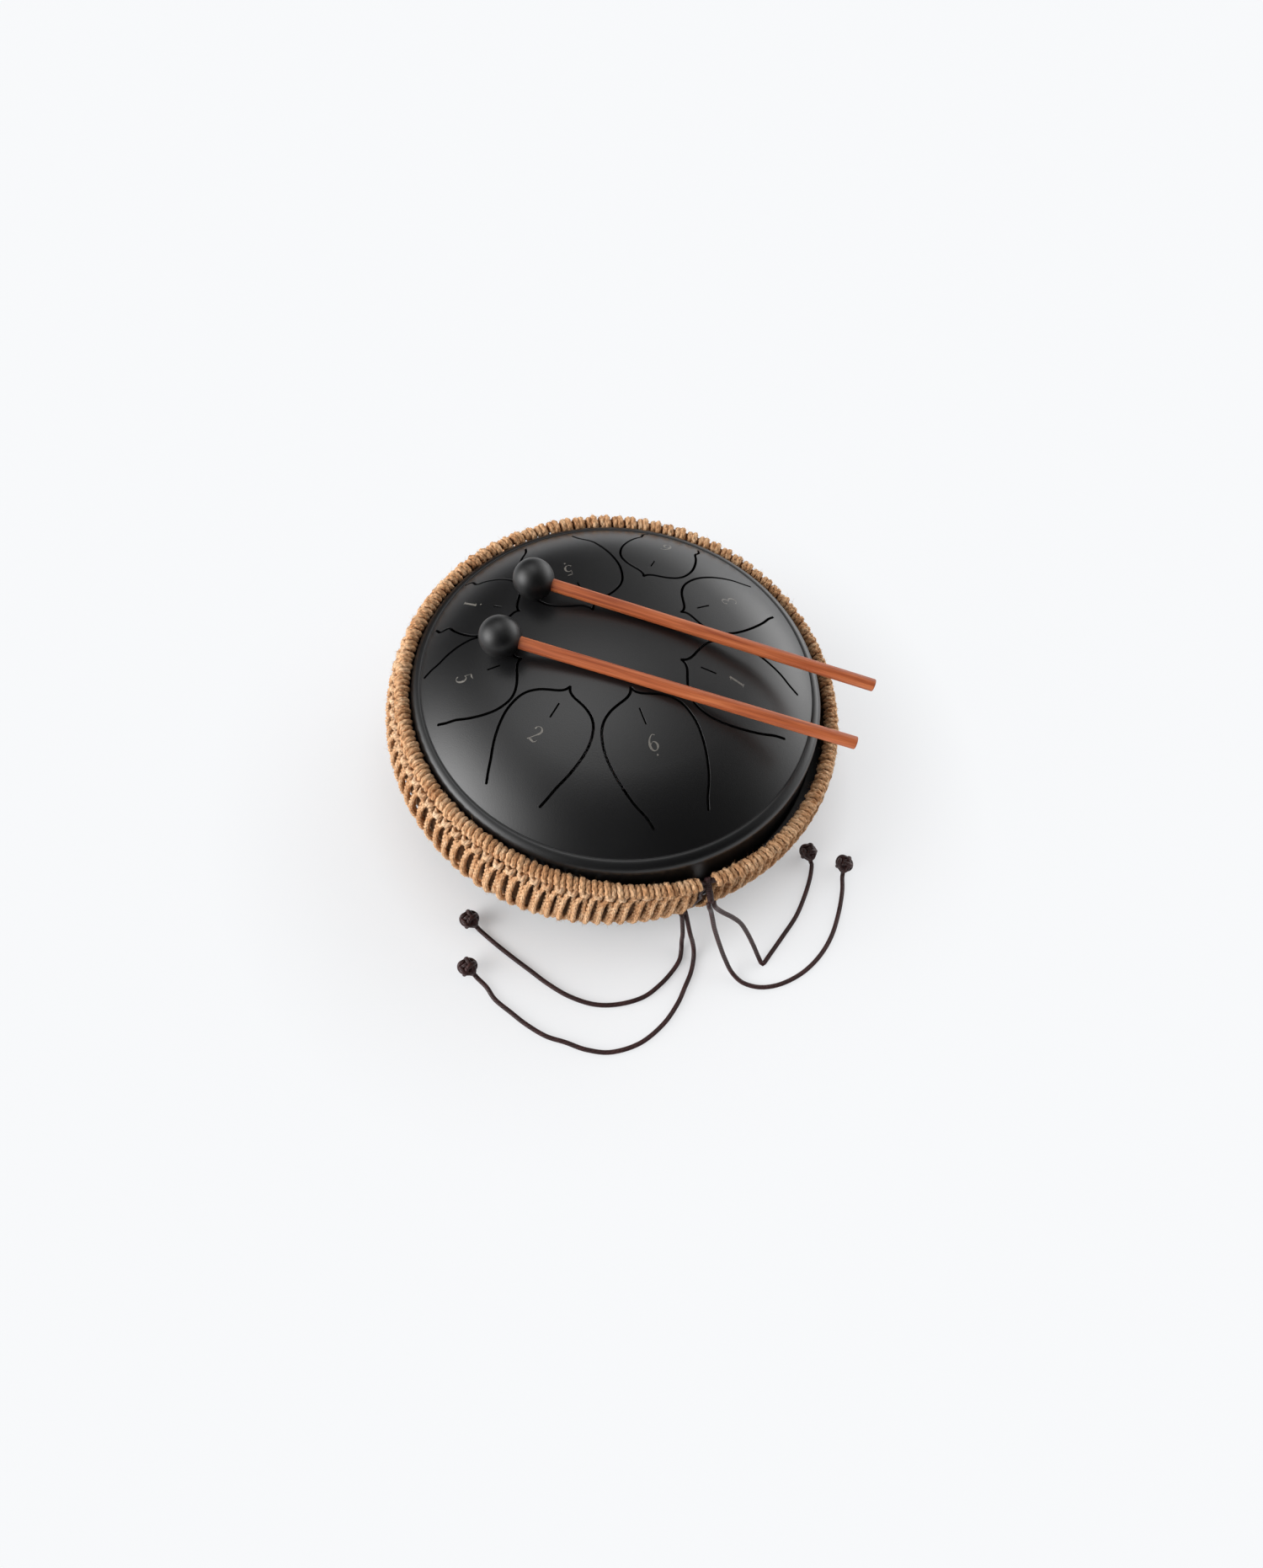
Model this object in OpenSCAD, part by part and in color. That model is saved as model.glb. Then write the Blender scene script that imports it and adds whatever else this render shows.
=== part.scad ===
// Steel tongue drum with eight petal shaped tongues, in a crocheted cover laced with two cords,
// with two rubber headed mallets lying across its dome.
// Millimetres. The origin is on the drum's axis at the floor, z is up and x points right.

/* [Drum] */
// radius of the crease where the dome meets the shoulder
dome_r = 120; // [110:1:130]
// height of the crease over the floor
crease_h = 108; // [100:1:116]
// radius of the ball that the crown is part of
crown_radius = 320; // [300:5:360]
// plan radius where the crown turns into the dome's edge
crown_r = 76; // [70:1:82]
// radius of the dome's edge in section
edge_radius = 118; // [112:1:124]
// thickness of the steel sheet
wall = 1.6; // [1.2:0.1:2]
// width of the shoulder outside the crease
shoulder_w = 7; // [6:0.5:8]
// how much the skirt widens from the shoulder down to the seam
skirt_flare = 2; // [1:0.2:2.4]
// height of the seam between the two shells
seam_h = 69; // [64:1:74]
// width of the seam flange
flange_w = 7; // [5:0.5:7]
// height of the flat base over the floor
base_h = 7; // [5:0.5:9]
// radius of the round sound port in the base
port_r = 30; // [25:1:35]

/* [Tongues] */
// width of the cut that outlines a tongue
slot_w = 1.5; // [1.2:0.1:2]
// width of the short cut near a tongue's tip
vent_w = 1; // [0.8:0.1:1.4]

/* [Cover] */
// how far the cover bulges past the seam flange
cover_bulge = 7.8; // [7.6:0.2:10]
// thickness of the crocheted wall
cover_wall_t = 7; // [6.4:0.1:7.2]
// radius of the rolled rim in section
rim_roll_r = 4.6; // [4:0.1:4.8]
// radius of the rolled hem in section
hem_roll_r = 3.6; // [3.2:0.1:3.8]

/* [Cords] */
// diameter of the satin cord
cord_d = 3; // [2.6:0.1:3.4]
// diameter of the round knot at a cord's end
bead_d = 11.6; // [10:0.2:13]

/* [Mallets] */
// diameter of the rubber head
head_d = 25; // [22:0.5:27]
// diameter of the wooden stick
stick_d = 7.5; // [6.5:0.1:8]

/* [Hidden] */
$fn = 96;
// small step that carries a cut past a face
over = 0.5;
// clear space between a mallet and the dome, and between soft pieces and their neighbours
seat_gap = 0.3;

// The dome's section: the crown's arc runs into the edge's arc without a corner.
crown_turn = asin(crown_r / crown_radius);
edge_axis_r = (crown_radius - edge_radius) * sin(crown_turn);
edge_drop = crown_radius - (crown_radius - edge_radius) * cos(crown_turn);
dome_rise = edge_drop - sqrt(pow(edge_radius, 2) - pow(dome_r - edge_axis_r, 2));
apex_h = crease_h + dome_rise;
crown_centre_h = apex_h - crown_radius;
edge_axis_h = apex_h - edge_drop;

// The very top of the crown is pressed flat by this much.
crown_flat = 0.02;

// The steel below the dome follows the crease, and the cover follows the seam flange.
shoulder_r = dome_r + shoulder_w;
skirt_foot_r = shoulder_r + skirt_flare;
flange_r = skirt_foot_r + flange_w;
cover_r = flange_r + cover_bulge;

// The crease's groove, the narrow ledge outside it and the shoulder.
groove_w = 0.8;
ledge_drop = 0.4;
ledge_w = 1.4;
shoulder_drop = 0.9;
shoulder_round = 4.5;
shoulder_axis_r = shoulder_r - shoulder_round;
shoulder_top_h = crease_h - shoulder_drop;
shoulder_axis_h = shoulder_top_h - shoulder_round;

// The bottom shell's rounding and the rubber ring that it stands on.
bowl_round = 50;
foot_in_r = 52;
foot_out_r = 62;
foot_edge = 1;

// The tongues. Every share below is of dome_r, counted from the point the petals turn about.
petal_x = -11.2;
petal_y = 7.4;
petal_azimuths = [-8.5, -59.1, -110.3, -153.2, 167.9, 122.2, 74.9, 35.5];
petal_tip_shares = [0.386, 0.319, 0.343, 0.430, 0.469, 0.176, 0.465, 0.421];
petal_end_shares = [0.986, 0.963, 0.903, 0.891, 0.862, 0.827, 0.920, 0.938];
petal_half_shares = [0.238, 0.235, 0.218, 0.224, 0.203, 0.252, 0.202, 0.200];
petal_foot_shares = [0.60, 0.59, 0.65, 0.67, 0.84, 0.54, 0.76, 0.60];
// how far each petal leans from the line through the point they turn about, in degrees
petal_leans = [-1.2, 0.5, 3.5, 1.5, 0.5, -1, 0.3, -0.3];
vent_from_shares = [0.487, 0.432, 0.442, 0.536, 0.569, 0.300, 0.560, 0.516];
vent_to_shares = [0.569, 0.520, 0.525, 0.600, 0.611, 0.388, 0.614, 0.589];
// how far along the tongue, and the half width there as a share of the greatest
petal_along_shares = [0, 0.035, 0.06, 0.08, 0.1, 0.13, 0.18, 0.245, 0.33, 0.42, 0.52, 0.62, 0.72, 0.82, 0.92, 1];
petal_width_shares = [0, 0.045, 0.12, 0.23, 0.39, 0.58, 0.765, 0.89, 0.965, 1, 0.99, 0.95, 0.885, 0.795];
petal_foot_blend_share = 0.07;

// The cover's rim sags and bulges towards the front left of the photographed drum.
sag_azimuth = -16.4;
sag_span = 115;
rim_inset = 11.9;
rim_r = cover_r - rim_inset;
rim_bulge = 6;
rim_drop = 5.3;
rim_sag_share = 0.41;
rim_sag = rim_sag_share * (crease_h - seam_h);
hem_h = 37;
hem_inset = 9.8;
hem_r = cover_r - hem_inset;
// how far the barrel of the wall draws in at the height of the crease, and at the hem
rim_draw = 10.6;
hem_draw = 7;
string_r = 1.5;
string_gap = 0.3;
slit_top_azimuth = -58.5;
slit_hem_azimuth = -61.5;
slit_top_w = 9;
slit_hem_w = 6;
cover_steps = 72;
wall_steps = 4;
rim_sides = 8;
string_sides = 6;

// The wrapped knots that gather the cords at the slit, and the cord that laces it.
core_r = 0.9;
wrap_r = 0.37;
wrap_gap = 0.3;
wrap_pitch = 1.2;
wrap_start = 2.4;
rim_wrap_turns = 7;
hem_wrap_turns = 3;
wrap_rings = 24;
wrap_sides = 6;
collar_r = 3.1;
collar_t = 1.4;
lace_d = 2;
rim_knot_reach = [4.46, -7.64, -9.93];
hem_knot_reach = [3.7, -3.2, -8.1];

// The cords' routes: x, y and height over the floor as shares of dome_r, from the knot to the bead.
cord_sides = 8;
cord_lead = 3;
hem_left_shares = [[0.567, -1.026, 0.113], [0.575, -1.048, 0.037], [0.582, -1.085, 0.004], [0.580, -1.140, 0],
    [0.552, -1.206, 0], [0.499, -1.288, 0], [0.416, -1.375, 0], [0.292, -1.435, 0], [0.164, -1.458, 0],
    [0.027, -1.439, 0], [-0.096, -1.394, 0], [-0.203, -1.341, 0], [-0.310, -1.288, 0], [-0.421, -1.229, 0],
    [-0.508, -1.179, 0.004]];
hem_right_shares = [[0.601, -1.031, 0.154], [0.628, -1.051, 0.079], [0.648, -1.080, 0.021], [0.655, -1.132, 0],
    [0.649, -1.203, 0], [0.629, -1.280, 0], [0.600, -1.379, 0], [0.539, -1.498, 0], [0.434, -1.613, 0],
    [0.296, -1.682, 0], [0.168, -1.692, 0], [0.054, -1.674, 0], [-0.050, -1.661, 0], [-0.161, -1.621, 0],
    [-0.256, -1.573, 0], [-0.348, -1.524, 0], [-0.406, -1.469, 0], [-0.460, -1.434, 0.004]];
rim_right_shares = [[0.676, -1.028, 0.579], [0.718, -1.020, 0.517], [0.774, -1.007, 0.442],
    [0.836, -0.998, 0.346], [0.894, -1.007, 0.237], [0.949, -1.027, 0.129], [0.997, -1.053, 0.037],
    [1.027, -1.079, 0], [1.040, -1.076, 0], [1.071, -1.019, 0], [1.127, -0.915, 0], [1.198, -0.777, 0],
    [1.240, -0.645, 0], [1.264, -0.531, 0], [1.269, -0.451, 0.004]];
rim_left_shares = [[0.645, -1.045, 0.579], [0.669, -1.055, 0.496], [0.698, -1.070, 0.396], [0.753, -1.097, 0.246],
    [0.809, -1.126, 0.113], [0.868, -1.165, 0.021], [0.939, -1.205, 0], [1.036, -1.211, 0], [1.146, -1.172, 0],
    [1.258, -1.089, 0], [1.346, -0.979, 0], [1.406, -0.853, 0], [1.440, -0.710, 0], [1.455, -0.578, 0],
    [1.451, -0.494, 0.004]];
hem_left_bead_shares = [-0.576, -1.138];
hem_right_bead_shares = [-0.523, -1.392];
rim_right_bead_shares = [1.235, -0.388];
rim_left_bead_shares = [1.448, -0.422];
bead_stem = 1.5;

// The mallets: where each head lies, which way its stick points, and its length from the head's centre.
back_head_xy = [-60.3, 34.1];
back_azimuth = -7.46;
back_reach = 211.3;
front_head_xy = [-70.1, -11.2];
front_azimuth = -6.93;
front_reach = 210.8;
head_bore = 9;
stick_edge = 1;

function unit(v) = v / norm(v);
function polar(r, azimuth, h) = [r * cos(azimuth), r * sin(azimuth), h];
function last(list) = list[len(list) - 1];

// One filled half section of the dome, drawn inset by the sheet's thickness for its inner side.
module dome_section(inset, reach, floor_h) {
    intersection() {
        union() {
            intersection() {
                translate([0, crown_centre_h]) circle(r = crown_radius - inset);
                polygon([[0, crown_centre_h], [0, apex_h + over],
                    [(crown_radius + over) * tan(crown_turn), crown_centre_h + crown_radius + over]]);
            }
            translate([edge_axis_r, edge_axis_h]) circle(r = edge_radius - inset);
        }
        translate([0, floor_h]) square([reach, apex_h - inset - crown_flat - floor_h]);
    }
}

module top_outer_section() {
    dome_section(0, dome_r, shoulder_axis_h);
    translate([shoulder_axis_r, shoulder_axis_h]) circle(r = shoulder_round);
    polygon([[0, seam_h], [flange_r, seam_h], [flange_r, seam_h + wall], [skirt_foot_r, seam_h + wall],
        [shoulder_r, shoulder_axis_h], [shoulder_axis_r, shoulder_axis_h], [shoulder_axis_r, shoulder_top_h],
        [dome_r + groove_w + ledge_w, crease_h - ledge_drop], [dome_r + groove_w, crease_h - ledge_drop],
        [dome_r + groove_w, shoulder_top_h], [0, shoulder_top_h]]);
}

module top_inner_section() {
    dome_section(wall, dome_r, shoulder_axis_h);
    translate([shoulder_axis_r, shoulder_axis_h]) circle(r = shoulder_round - wall);
    polygon([[0, seam_h - over], [skirt_foot_r - wall, seam_h - over], [shoulder_r - wall, shoulder_axis_h],
        [shoulder_axis_r, shoulder_axis_h], [shoulder_axis_r, shoulder_top_h - wall],
        [0, shoulder_top_h - wall]]);
}

// The half width of a tongue at each step along it; the last two steps blend to its own foot width.
function petal_width(k, i) = petal_half_shares[k] * dome_r
    * (i < 14 ? petal_width_shares[i]
        : petal_foot_shares[k] + (i < 15 ? petal_foot_blend_share : 0));
function leant(v, turn) = [v[0] * cos(turn) - v[1] * sin(turn), v[0] * sin(turn) + v[1] * cos(turn)];
function petal_point(k, i, side) = [dome_r * petal_tip_shares[k], 0] + leant([
    dome_r * petal_along_shares[i] * (petal_end_shares[k] - petal_tip_shares[k]),
    side * petal_width(k, i)], petal_leans[k]);
function petal_path(k) = let (n = len(petal_along_shares)) concat(
    [for (i = [n - 1 : -1 : 1]) petal_point(k, i, -1)],
    [for (i = [0 : n - 1]) petal_point(k, i, 1)]);

// The strip along a path: both edges are mitred, so the tongue's tip stays sharp, and the ends are round.
function normal_of(d) = [-d[1], d[0]];
function strip_point(path, i, side) = let (
    before = normal_of(unit(i > 0 ? path[i] - path[i - 1] : path[1] - path[0])),
    after = normal_of(unit(i < len(path) - 1 ? path[i + 1] - path[i] : path[i] - path[i - 1])),
    middle = unit(before + after)) path[i] + side * slot_w / 2 / (middle * before) * middle;
function round_end(point, d, turn) = [for (a = [45 : 45 : 135])
    point + slot_w / 2 * (cos(turn + a) * normal_of(d) + sin(turn + a) * d)];

module slot_strip(path) {
    n = len(path);
    polygon(concat(
        [for (i = [0 : n - 1]) strip_point(path, i, 1)],
        round_end(path[n - 1], unit(path[n - 1] - path[n - 2]), 0),
        [for (i = [n - 1 : -1 : 0]) strip_point(path, i, -1)],
        round_end(path[0], unit(path[1] - path[0]), 180)));
}

module tongue_cut(k) {
    rotate(petal_azimuths[k]) {
        slot_strip(petal_path(k));
        translate([vent_from_shares[k] * dome_r, -vent_w / 2])
            square([(vent_to_shares[k] - vent_from_shares[k]) * dome_r, vent_w]);
    }
}

module top_shell() {
    color("#26282b")
    difference() {
        rotate_extrude() difference() {
            top_outer_section();
            top_inner_section();
        }
        translate([0, 0, shoulder_axis_h]) linear_extrude(height = apex_h - shoulder_axis_h + over)
            translate([petal_x, petal_y]) for (k = [0 : len(petal_azimuths) - 1]) tongue_cut(k);
    }
}

module bowl_section(inset) {
    translate([skirt_foot_r - bowl_round, base_h + bowl_round]) circle(r = bowl_round - inset);
    polygon([[0, base_h + inset], [skirt_foot_r - bowl_round, base_h + inset],
        [skirt_foot_r - bowl_round, base_h + bowl_round], [skirt_foot_r - inset, base_h + bowl_round],
        [skirt_foot_r - inset, seam_h], [0, seam_h]]);
}

module bottom_shell() {
    color("#2b2d30")
    rotate_extrude() difference() {
        union() {
            intersection() {
                bowl_section(0);
                square([flange_r, seam_h]);
            }
            translate([skirt_foot_r - wall, seam_h - wall]) square([flange_r - skirt_foot_r + wall, wall]);
        }
        bowl_section(wall);
        translate([0, base_h - over]) square([port_r, bowl_round]);
        translate([0, base_h + bowl_round]) square([skirt_foot_r - wall, seam_h]);
    }
}

module foot_ring() {
    color("#1c1c1d")
    rotate_extrude() polygon([[foot_in_r + foot_edge, 0], [foot_out_r - foot_edge, 0], [foot_out_r, foot_edge],
        [foot_out_r, base_h], [foot_in_r, base_h], [foot_in_r, foot_edge]]);
}

// The rim's sag: 1 at the front left, easing to 0 at the back.
function sag_turn(azimuth) = (azimuth - sag_azimuth + 540) % 360 - 180;
function sag(azimuth) = abs(sag_turn(azimuth)) < sag_span
    ? (1 + cos(180 * sag_turn(azimuth) / sag_span)) / 2 : 0;
function rim_h(azimuth) = crease_h - rim_drop - rim_sag * sag(azimuth);
function rim_point(azimuth) = polar(rim_r + rim_bulge * sag(azimuth), azimuth, rim_h(azimuth));

// Sweeps along a row of points: an up direction is carried along without turning about the route.
function tangent(path, i) = unit(path[min(i + 1, len(path) - 1)] - path[max(i - 1, 0)]);
function square_to(v, t) = unit(v - (v * t) * t);
function carried(path, start) = [for (i = 0, u = square_to(start, tangent(path, 0)); i < len(path);
    i = i + 1, u = i < len(path) ? square_to(u, tangent(path, i)) : u) u];
function ring(centre, u, t, r, sides) = [for (j = [0 : sides - 1])
    centre + r * (cos(360 * j / sides) * u + sin(360 * j / sides) * cross(t, u))];
function tube_points(path, r, sides, start) = let (ups = carried(path, start))
    [for (i = [0 : len(path) - 1]) each ring(path[i], ups[i], tangent(path, i), r, sides)];
function tube_walls(rings, sides, from, flip) = [for (i = [0 : rings - 2]) for (j = [0 : sides - 1]) let (
    a = from + i * sides + j,
    b = from + i * sides + (j + 1) % sides,
    c = b + sides,
    d = a + sides) each flip ? [[a, b, c], [a, c, d]] : [[a, c, b], [a, d, c]]];

module tube(path, r, sides, start) {
    rings = len(path);
    polyhedron(points = tube_points(path, r, sides, start), faces = concat(
        [[for (j = [0 : sides - 1]) j]],
        tube_walls(rings, sides, 0, false),
        [[for (j = [0 : sides - 1]) rings * sides - 1 - j]]));
}

// A hollow tube: the two ends are rings of triangles between the outer and the inner wall.
function ring_cap(sides, outer, inner, flip) = [for (j = [0 : sides - 1]) let (
    k = (j + 1) % sides) each flip
        ? [[outer + j, inner + j, inner + k], [outer + j, inner + k, outer + k]]
        : [[outer + j, inner + k, inner + j], [outer + j, outer + k, inner + k]]];

module hollow_tube(path, r, bore, sides, start) {
    rings = len(path);
    from = rings * sides;
    polyhedron(
        points = concat(tube_points(path, r, sides, start), tube_points(path, bore, sides, start)),
        faces = concat(
            tube_walls(rings, sides, 0, false),
            tube_walls(rings, sides, from, true),
            ring_cap(sides, 0, from, false),
            ring_cap(sides, from - sides, 2 * from - sides, true)));
}

// The slit runs from the rim to the hem, a little slanted and narrower below.
function slit_share(h) = (rim_h(slit_top_azimuth) - h) / (rim_h(slit_top_azimuth) - hem_h);
function slit_azimuth(h) = slit_top_azimuth + slit_share(h) * (slit_hem_azimuth - slit_top_azimuth);
function slit_half_turn(h) = let (w = slit_top_w + slit_share(h) * (slit_hem_w - slit_top_w))
    asin(w / 2 / cover_r);
function cover_azimuth(step, h) = slit_azimuth(h) + slit_half_turn(h)
    + step / cover_steps * (360 - 2 * slit_half_turn(h));
function rim_path(end_gap) = let (half = asin(end_gap / rim_r)) [for (i = [0 : cover_steps])
    rim_point(slit_top_azimuth + half + i / cover_steps * (360 - 2 * half))];

module cover_rim_roll() {
    color("#bd9468")
    hollow_tube(rim_path(slit_top_w / 2), rim_roll_r, (string_r + string_gap) / cos(180 / rim_sides),
        rim_sides, [0, 0, 1]);
}

module rim_drawstring() {
    color("#3d2a28")
    tube(rim_path(core_r + seat_gap), string_r, string_sides, [0, 0, 1]);
}

// The wall's section at one azimuth, up the outer side and down the inner side.
function wall_r(h, inset) = cover_r - inset - (h > seam_h
    ? rim_draw * pow((h - seam_h) / (crease_h - seam_h), 2)
    : hem_draw * pow((seam_h - h) / (seam_h - hem_h), 2));
function wall_top_h(step) = rim_h(cover_azimuth(step, rim_h(slit_top_azimuth))) - rim_roll_r - seat_gap;
function wall_h(step, i) = hem_h + hem_roll_r + seat_gap
    + i / wall_steps * (wall_top_h(step) - hem_h - hem_roll_r - seat_gap);
function wall_ring(step) = concat(
    [for (i = [0 : wall_steps]) let (h = wall_h(step, i)) polar(wall_r(h, 0), cover_azimuth(step, h), h)],
    [for (i = [wall_steps : -1 : 0]) let (h = wall_h(step, i))
        polar(wall_r(h, cover_wall_t), cover_azimuth(step, h), h)]);

module cover_wall() {
    sides = 2 * (wall_steps + 1);
    rings = cover_steps + 1;
    color("#b48a5e")
    polyhedron(points = [for (step = [0 : cover_steps]) each wall_ring(step)], faces = concat(
        [[for (j = [0 : sides - 1]) j]],
        tube_walls(rings, sides, 0, false),
        [[for (j = [0 : sides - 1]) rings * sides - 1 - j]]));
}

module hem_ring(r, bore, end_gap) {
    half = asin(end_gap / hem_r);
    rotate(slit_hem_azimuth + half) translate([0, 0, hem_h])
        rotate_extrude(angle = 360 - 2 * half) translate([hem_r, 0]) difference() {
            circle(r = r, $fn = 48);
            circle(r = bore, $fn = 48);
        }
}

module cover_hem_roll() {
    color("#a97f55")
    hem_ring(hem_roll_r, string_r + string_gap, slit_hem_w / 2);
}

// The hem's knot leans along the string, so the string ends further from it than the rim's does.
module hem_drawstring() {
    half = asin((core_r + 3 * seat_gap) / hem_r);
    color("#3d2a28")
    rotate(slit_hem_azimuth + half) translate([0, 0, hem_h])
        rotate_extrude(angle = 360 - 2 * half) translate([hem_r, 0]) circle(r = string_r, $fn = 48);
}

// Turns z onto a direction and moves the origin to a point.
module placed(point, direction) {
    translate(point)
        rotate([0, acos(direction[2]), atan2(direction[1], direction[0])]) children();
}

rim_knot_start = rim_point(slit_top_azimuth);
hem_knot_start = polar(hem_r, slit_hem_azimuth, hem_h);
rim_knot_end = rim_knot_start + rim_knot_reach;
hem_knot_end = hem_knot_start + hem_knot_reach;
rim_knot_way = unit(rim_knot_reach);
hem_knot_way = unit(hem_knot_reach);

module knot_core(start, end, way) {
    length = norm(end - start);
    color("#3a2826")
    placed(start, way) {
        cylinder(r = core_r, h = length);
        translate([0, 0, length - collar_t]) cylinder(r = collar_r, h = collar_t);
    }
}

// A winding's thread runs straight for one thread diameter at both ends.
function coil(turns, r) = let (
    turn = [for (i = [0 : turns * wrap_rings])
        [r * cos(360 * i / wrap_rings), r * sin(360 * i / wrap_rings), i / wrap_rings * wrap_pitch]],
    entry = turn[0] - 2 * wrap_r * unit(turn[1] - turn[0]),
    exit = last(turn) + 2 * wrap_r * unit(last(turn) - turn[len(turn) - 2])) concat([entry], turn, [exit]);
function least_gap(path) = min([for (i = [0 : len(path) - 1]) for (j = [i + wrap_rings / 2 : len(path) - 1])
    norm(path[i] - path[j]) - 2 * wrap_r]);

module knot_wrap(start, way, turns) {
    color("#46312e")
    placed(start, way) translate([0, 0, wrap_start])
        tube(coil(turns, core_r + wrap_gap + wrap_r), wrap_r, wrap_sides, [0, 0, 1]);
}

echo("least gap of the windings to themselves", min([for (turns = [rim_wrap_turns, hem_wrap_turns])
    least_gap(coil(turns, core_r + wrap_gap + wrap_r))]));

module rim_knot_core() { knot_core(rim_knot_start, rim_knot_end, rim_knot_way); }
module rim_knot_wrap() { knot_wrap(rim_knot_start, rim_knot_way, rim_wrap_turns); }
module hem_knot_core() { knot_core(hem_knot_start, hem_knot_end, hem_knot_way); }
module hem_knot_wrap() { knot_wrap(hem_knot_start, hem_knot_way, hem_wrap_turns); }

// The lacing lies in the slit halfway through the wall, clear of both knots.
lace_from_h = rim_h(slit_top_azimuth) - 2 * core_r - rim_roll_r;
lace_to_h = hem_h + string_r + seat_gap + over;
function lace_point(i) = let (h = lace_from_h + i / wall_steps / 2 * (lace_to_h - lace_from_h))
    polar(wall_r(h, cover_wall_t / 2), slit_azimuth(h), h);

module slit_lacing() {
    color("#3d2a28")
    tube([for (i = [0 : 2 * wall_steps]) lace_point(i)], lace_d / 2, cord_sides, [1, 0, 0]);
}

// A cord's route: straight out of its knot's collar, on through the chosen points, into its bead's stem.
function across(way) = unit(cross([0, 0, 1], way));
function bead_centre(shares) = [shares[0] * dome_r, shares[1] * dome_r, bead_d / 2];
function route(end, way, side, shares, bead) = let (
    start = end + side * (cord_d / 2 + seat_gap / 2) * across(way),
    laid = [for (p = shares) [p[0] * dome_r, p[1] * dome_r, cord_d / 2 + p[2] * dome_r]],
    stem = stem_end(last(laid), bead)) concat([start, start + cord_lead * way], laid, [stem]);
function stem_way(from, bead) = unit(bead_centre(bead) - from);
function stem_end(from, bead) = bead_centre(bead) - (bead_d / 2 + bead_stem) * stem_way(from, bead);
// The midway points never dip under a cord that lies on the floor.
function midway(p, i) = let (
    a = p[max(i - 1, 0)],
    d = p[min(i + 2, len(p) - 1)],
    m = (9 * (p[i] + p[i + 1]) - a - d) / 16) [m[0], m[1], max(m[2], cord_d / 2)];
function smoothed(p) = concat([for (i = [0 : len(p) - 2]) each i == 0 || i > len(p) - 3
    ? [p[i]] : [p[i], midway(p, i)]], [last(p)]);

module cord(end, way, side, shares, bead) {
    color("#3d2a28")
    tube(smoothed(route(end, way, side, shares, bead)), cord_d / 2, cord_sides, [0, 0, 1]);
}

module bead_knot(shares, bead) {
    from = [last(shares)[0] * dome_r, last(shares)[1] * dome_r, cord_d / 2 + last(shares)[2] * dome_r];
    way = stem_way(from, bead);
    color("#38201f")
    union() {
        translate(bead_centre(bead)) sphere(d = bead_d);
        placed(stem_end(from, bead), way) cylinder(d = cord_d + seat_gap, h = bead_stem + cord_d);
    }
}

module hem_cord_left() { cord(hem_knot_end, hem_knot_way, -1, hem_left_shares, hem_left_bead_shares); }
module hem_cord_right() { cord(hem_knot_end, hem_knot_way, 1, hem_right_shares, hem_right_bead_shares); }
module rim_cord_right() { cord(rim_knot_end, rim_knot_way, 1, rim_right_shares, rim_right_bead_shares); }
module rim_cord_left() { cord(rim_knot_end, rim_knot_way, -1, rim_left_shares, rim_left_bead_shares); }
module hem_left_bead() { bead_knot(hem_left_shares, hem_left_bead_shares); }
module hem_right_bead() { bead_knot(hem_right_shares, hem_right_bead_shares); }
module rim_right_bead() { bead_knot(rim_right_shares, rim_right_bead_shares); }
module rim_left_bead() { bead_knot(rim_left_shares, rim_left_bead_shares); }

// A mallet lies with its head and its stick just clear of the crown: the head's centre and the stick's
// axis keep their own distances from the centre of the ball that the crown is part of.
head_orbit = crown_radius + head_d / 2 + seat_gap;
stick_orbit = crown_radius + stick_d / 2 + seat_gap;
function head_centre(xy) = [xy[0], xy[1],
    crown_centre_h + sqrt(pow(head_orbit, 2) - pow(xy[0], 2) - pow(xy[1], 2))];
function stick_slope(xy, azimuth) = let (
    inward = xy[0] * cos(azimuth) + xy[1] * sin(azimuth),
    rise = head_centre(xy)[2] - crown_centre_h,
    run = sqrt(pow(head_orbit, 2) - pow(stick_orbit, 2)))
    -asin(run / norm([inward, rise])) - atan2(inward, rise);

module on_stick(xy, azimuth) {
    translate(head_centre(xy)) rotate([0, 90 - stick_slope(xy, azimuth), azimuth]) children();
}

module mallet_stick(xy, azimuth, reach) {
    color("#7a4630")
    on_stick(xy, azimuth) translate([0, 0, -head_d / 2 + head_bore]) rotate_extrude() {
        length = reach + head_d / 2 - head_bore;
        square([stick_d / 2, length - stick_edge]);
        square([stick_d / 2 - stick_edge, length]);
        translate([stick_d / 2 - stick_edge, length - stick_edge]) intersection() {
            circle(r = stick_edge, $fn = 48);
            square(stick_edge);
        }
    }
}

module mallet_head(xy, azimuth) {
    color("#161617")
    on_stick(xy, azimuth) difference() {
        sphere(d = head_d);
        translate([0, 0, -head_d / 2 + head_bore]) cylinder(d = stick_d, h = head_d);
    }
}

module back_mallet_stick() { mallet_stick(back_head_xy, back_azimuth, back_reach); }
module back_mallet_head() { mallet_head(back_head_xy, back_azimuth); }
module front_mallet_stick() { mallet_stick(front_head_xy, front_azimuth, front_reach); }
module front_mallet_head() { mallet_head(front_head_xy, front_azimuth); }

top_shell();
bottom_shell();
foot_ring();
cover_rim_roll();
cover_wall();
cover_hem_roll();
rim_drawstring();
hem_drawstring();
slit_lacing();
rim_knot_core();
rim_knot_wrap();
hem_knot_core();
hem_knot_wrap();
hem_cord_left();
hem_cord_right();
rim_cord_right();
rim_cord_left();
hem_left_bead();
hem_right_bead();
rim_right_bead();
rim_left_bead();
back_mallet_stick();
back_mallet_head();
front_mallet_stick();
front_mallet_head();
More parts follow.
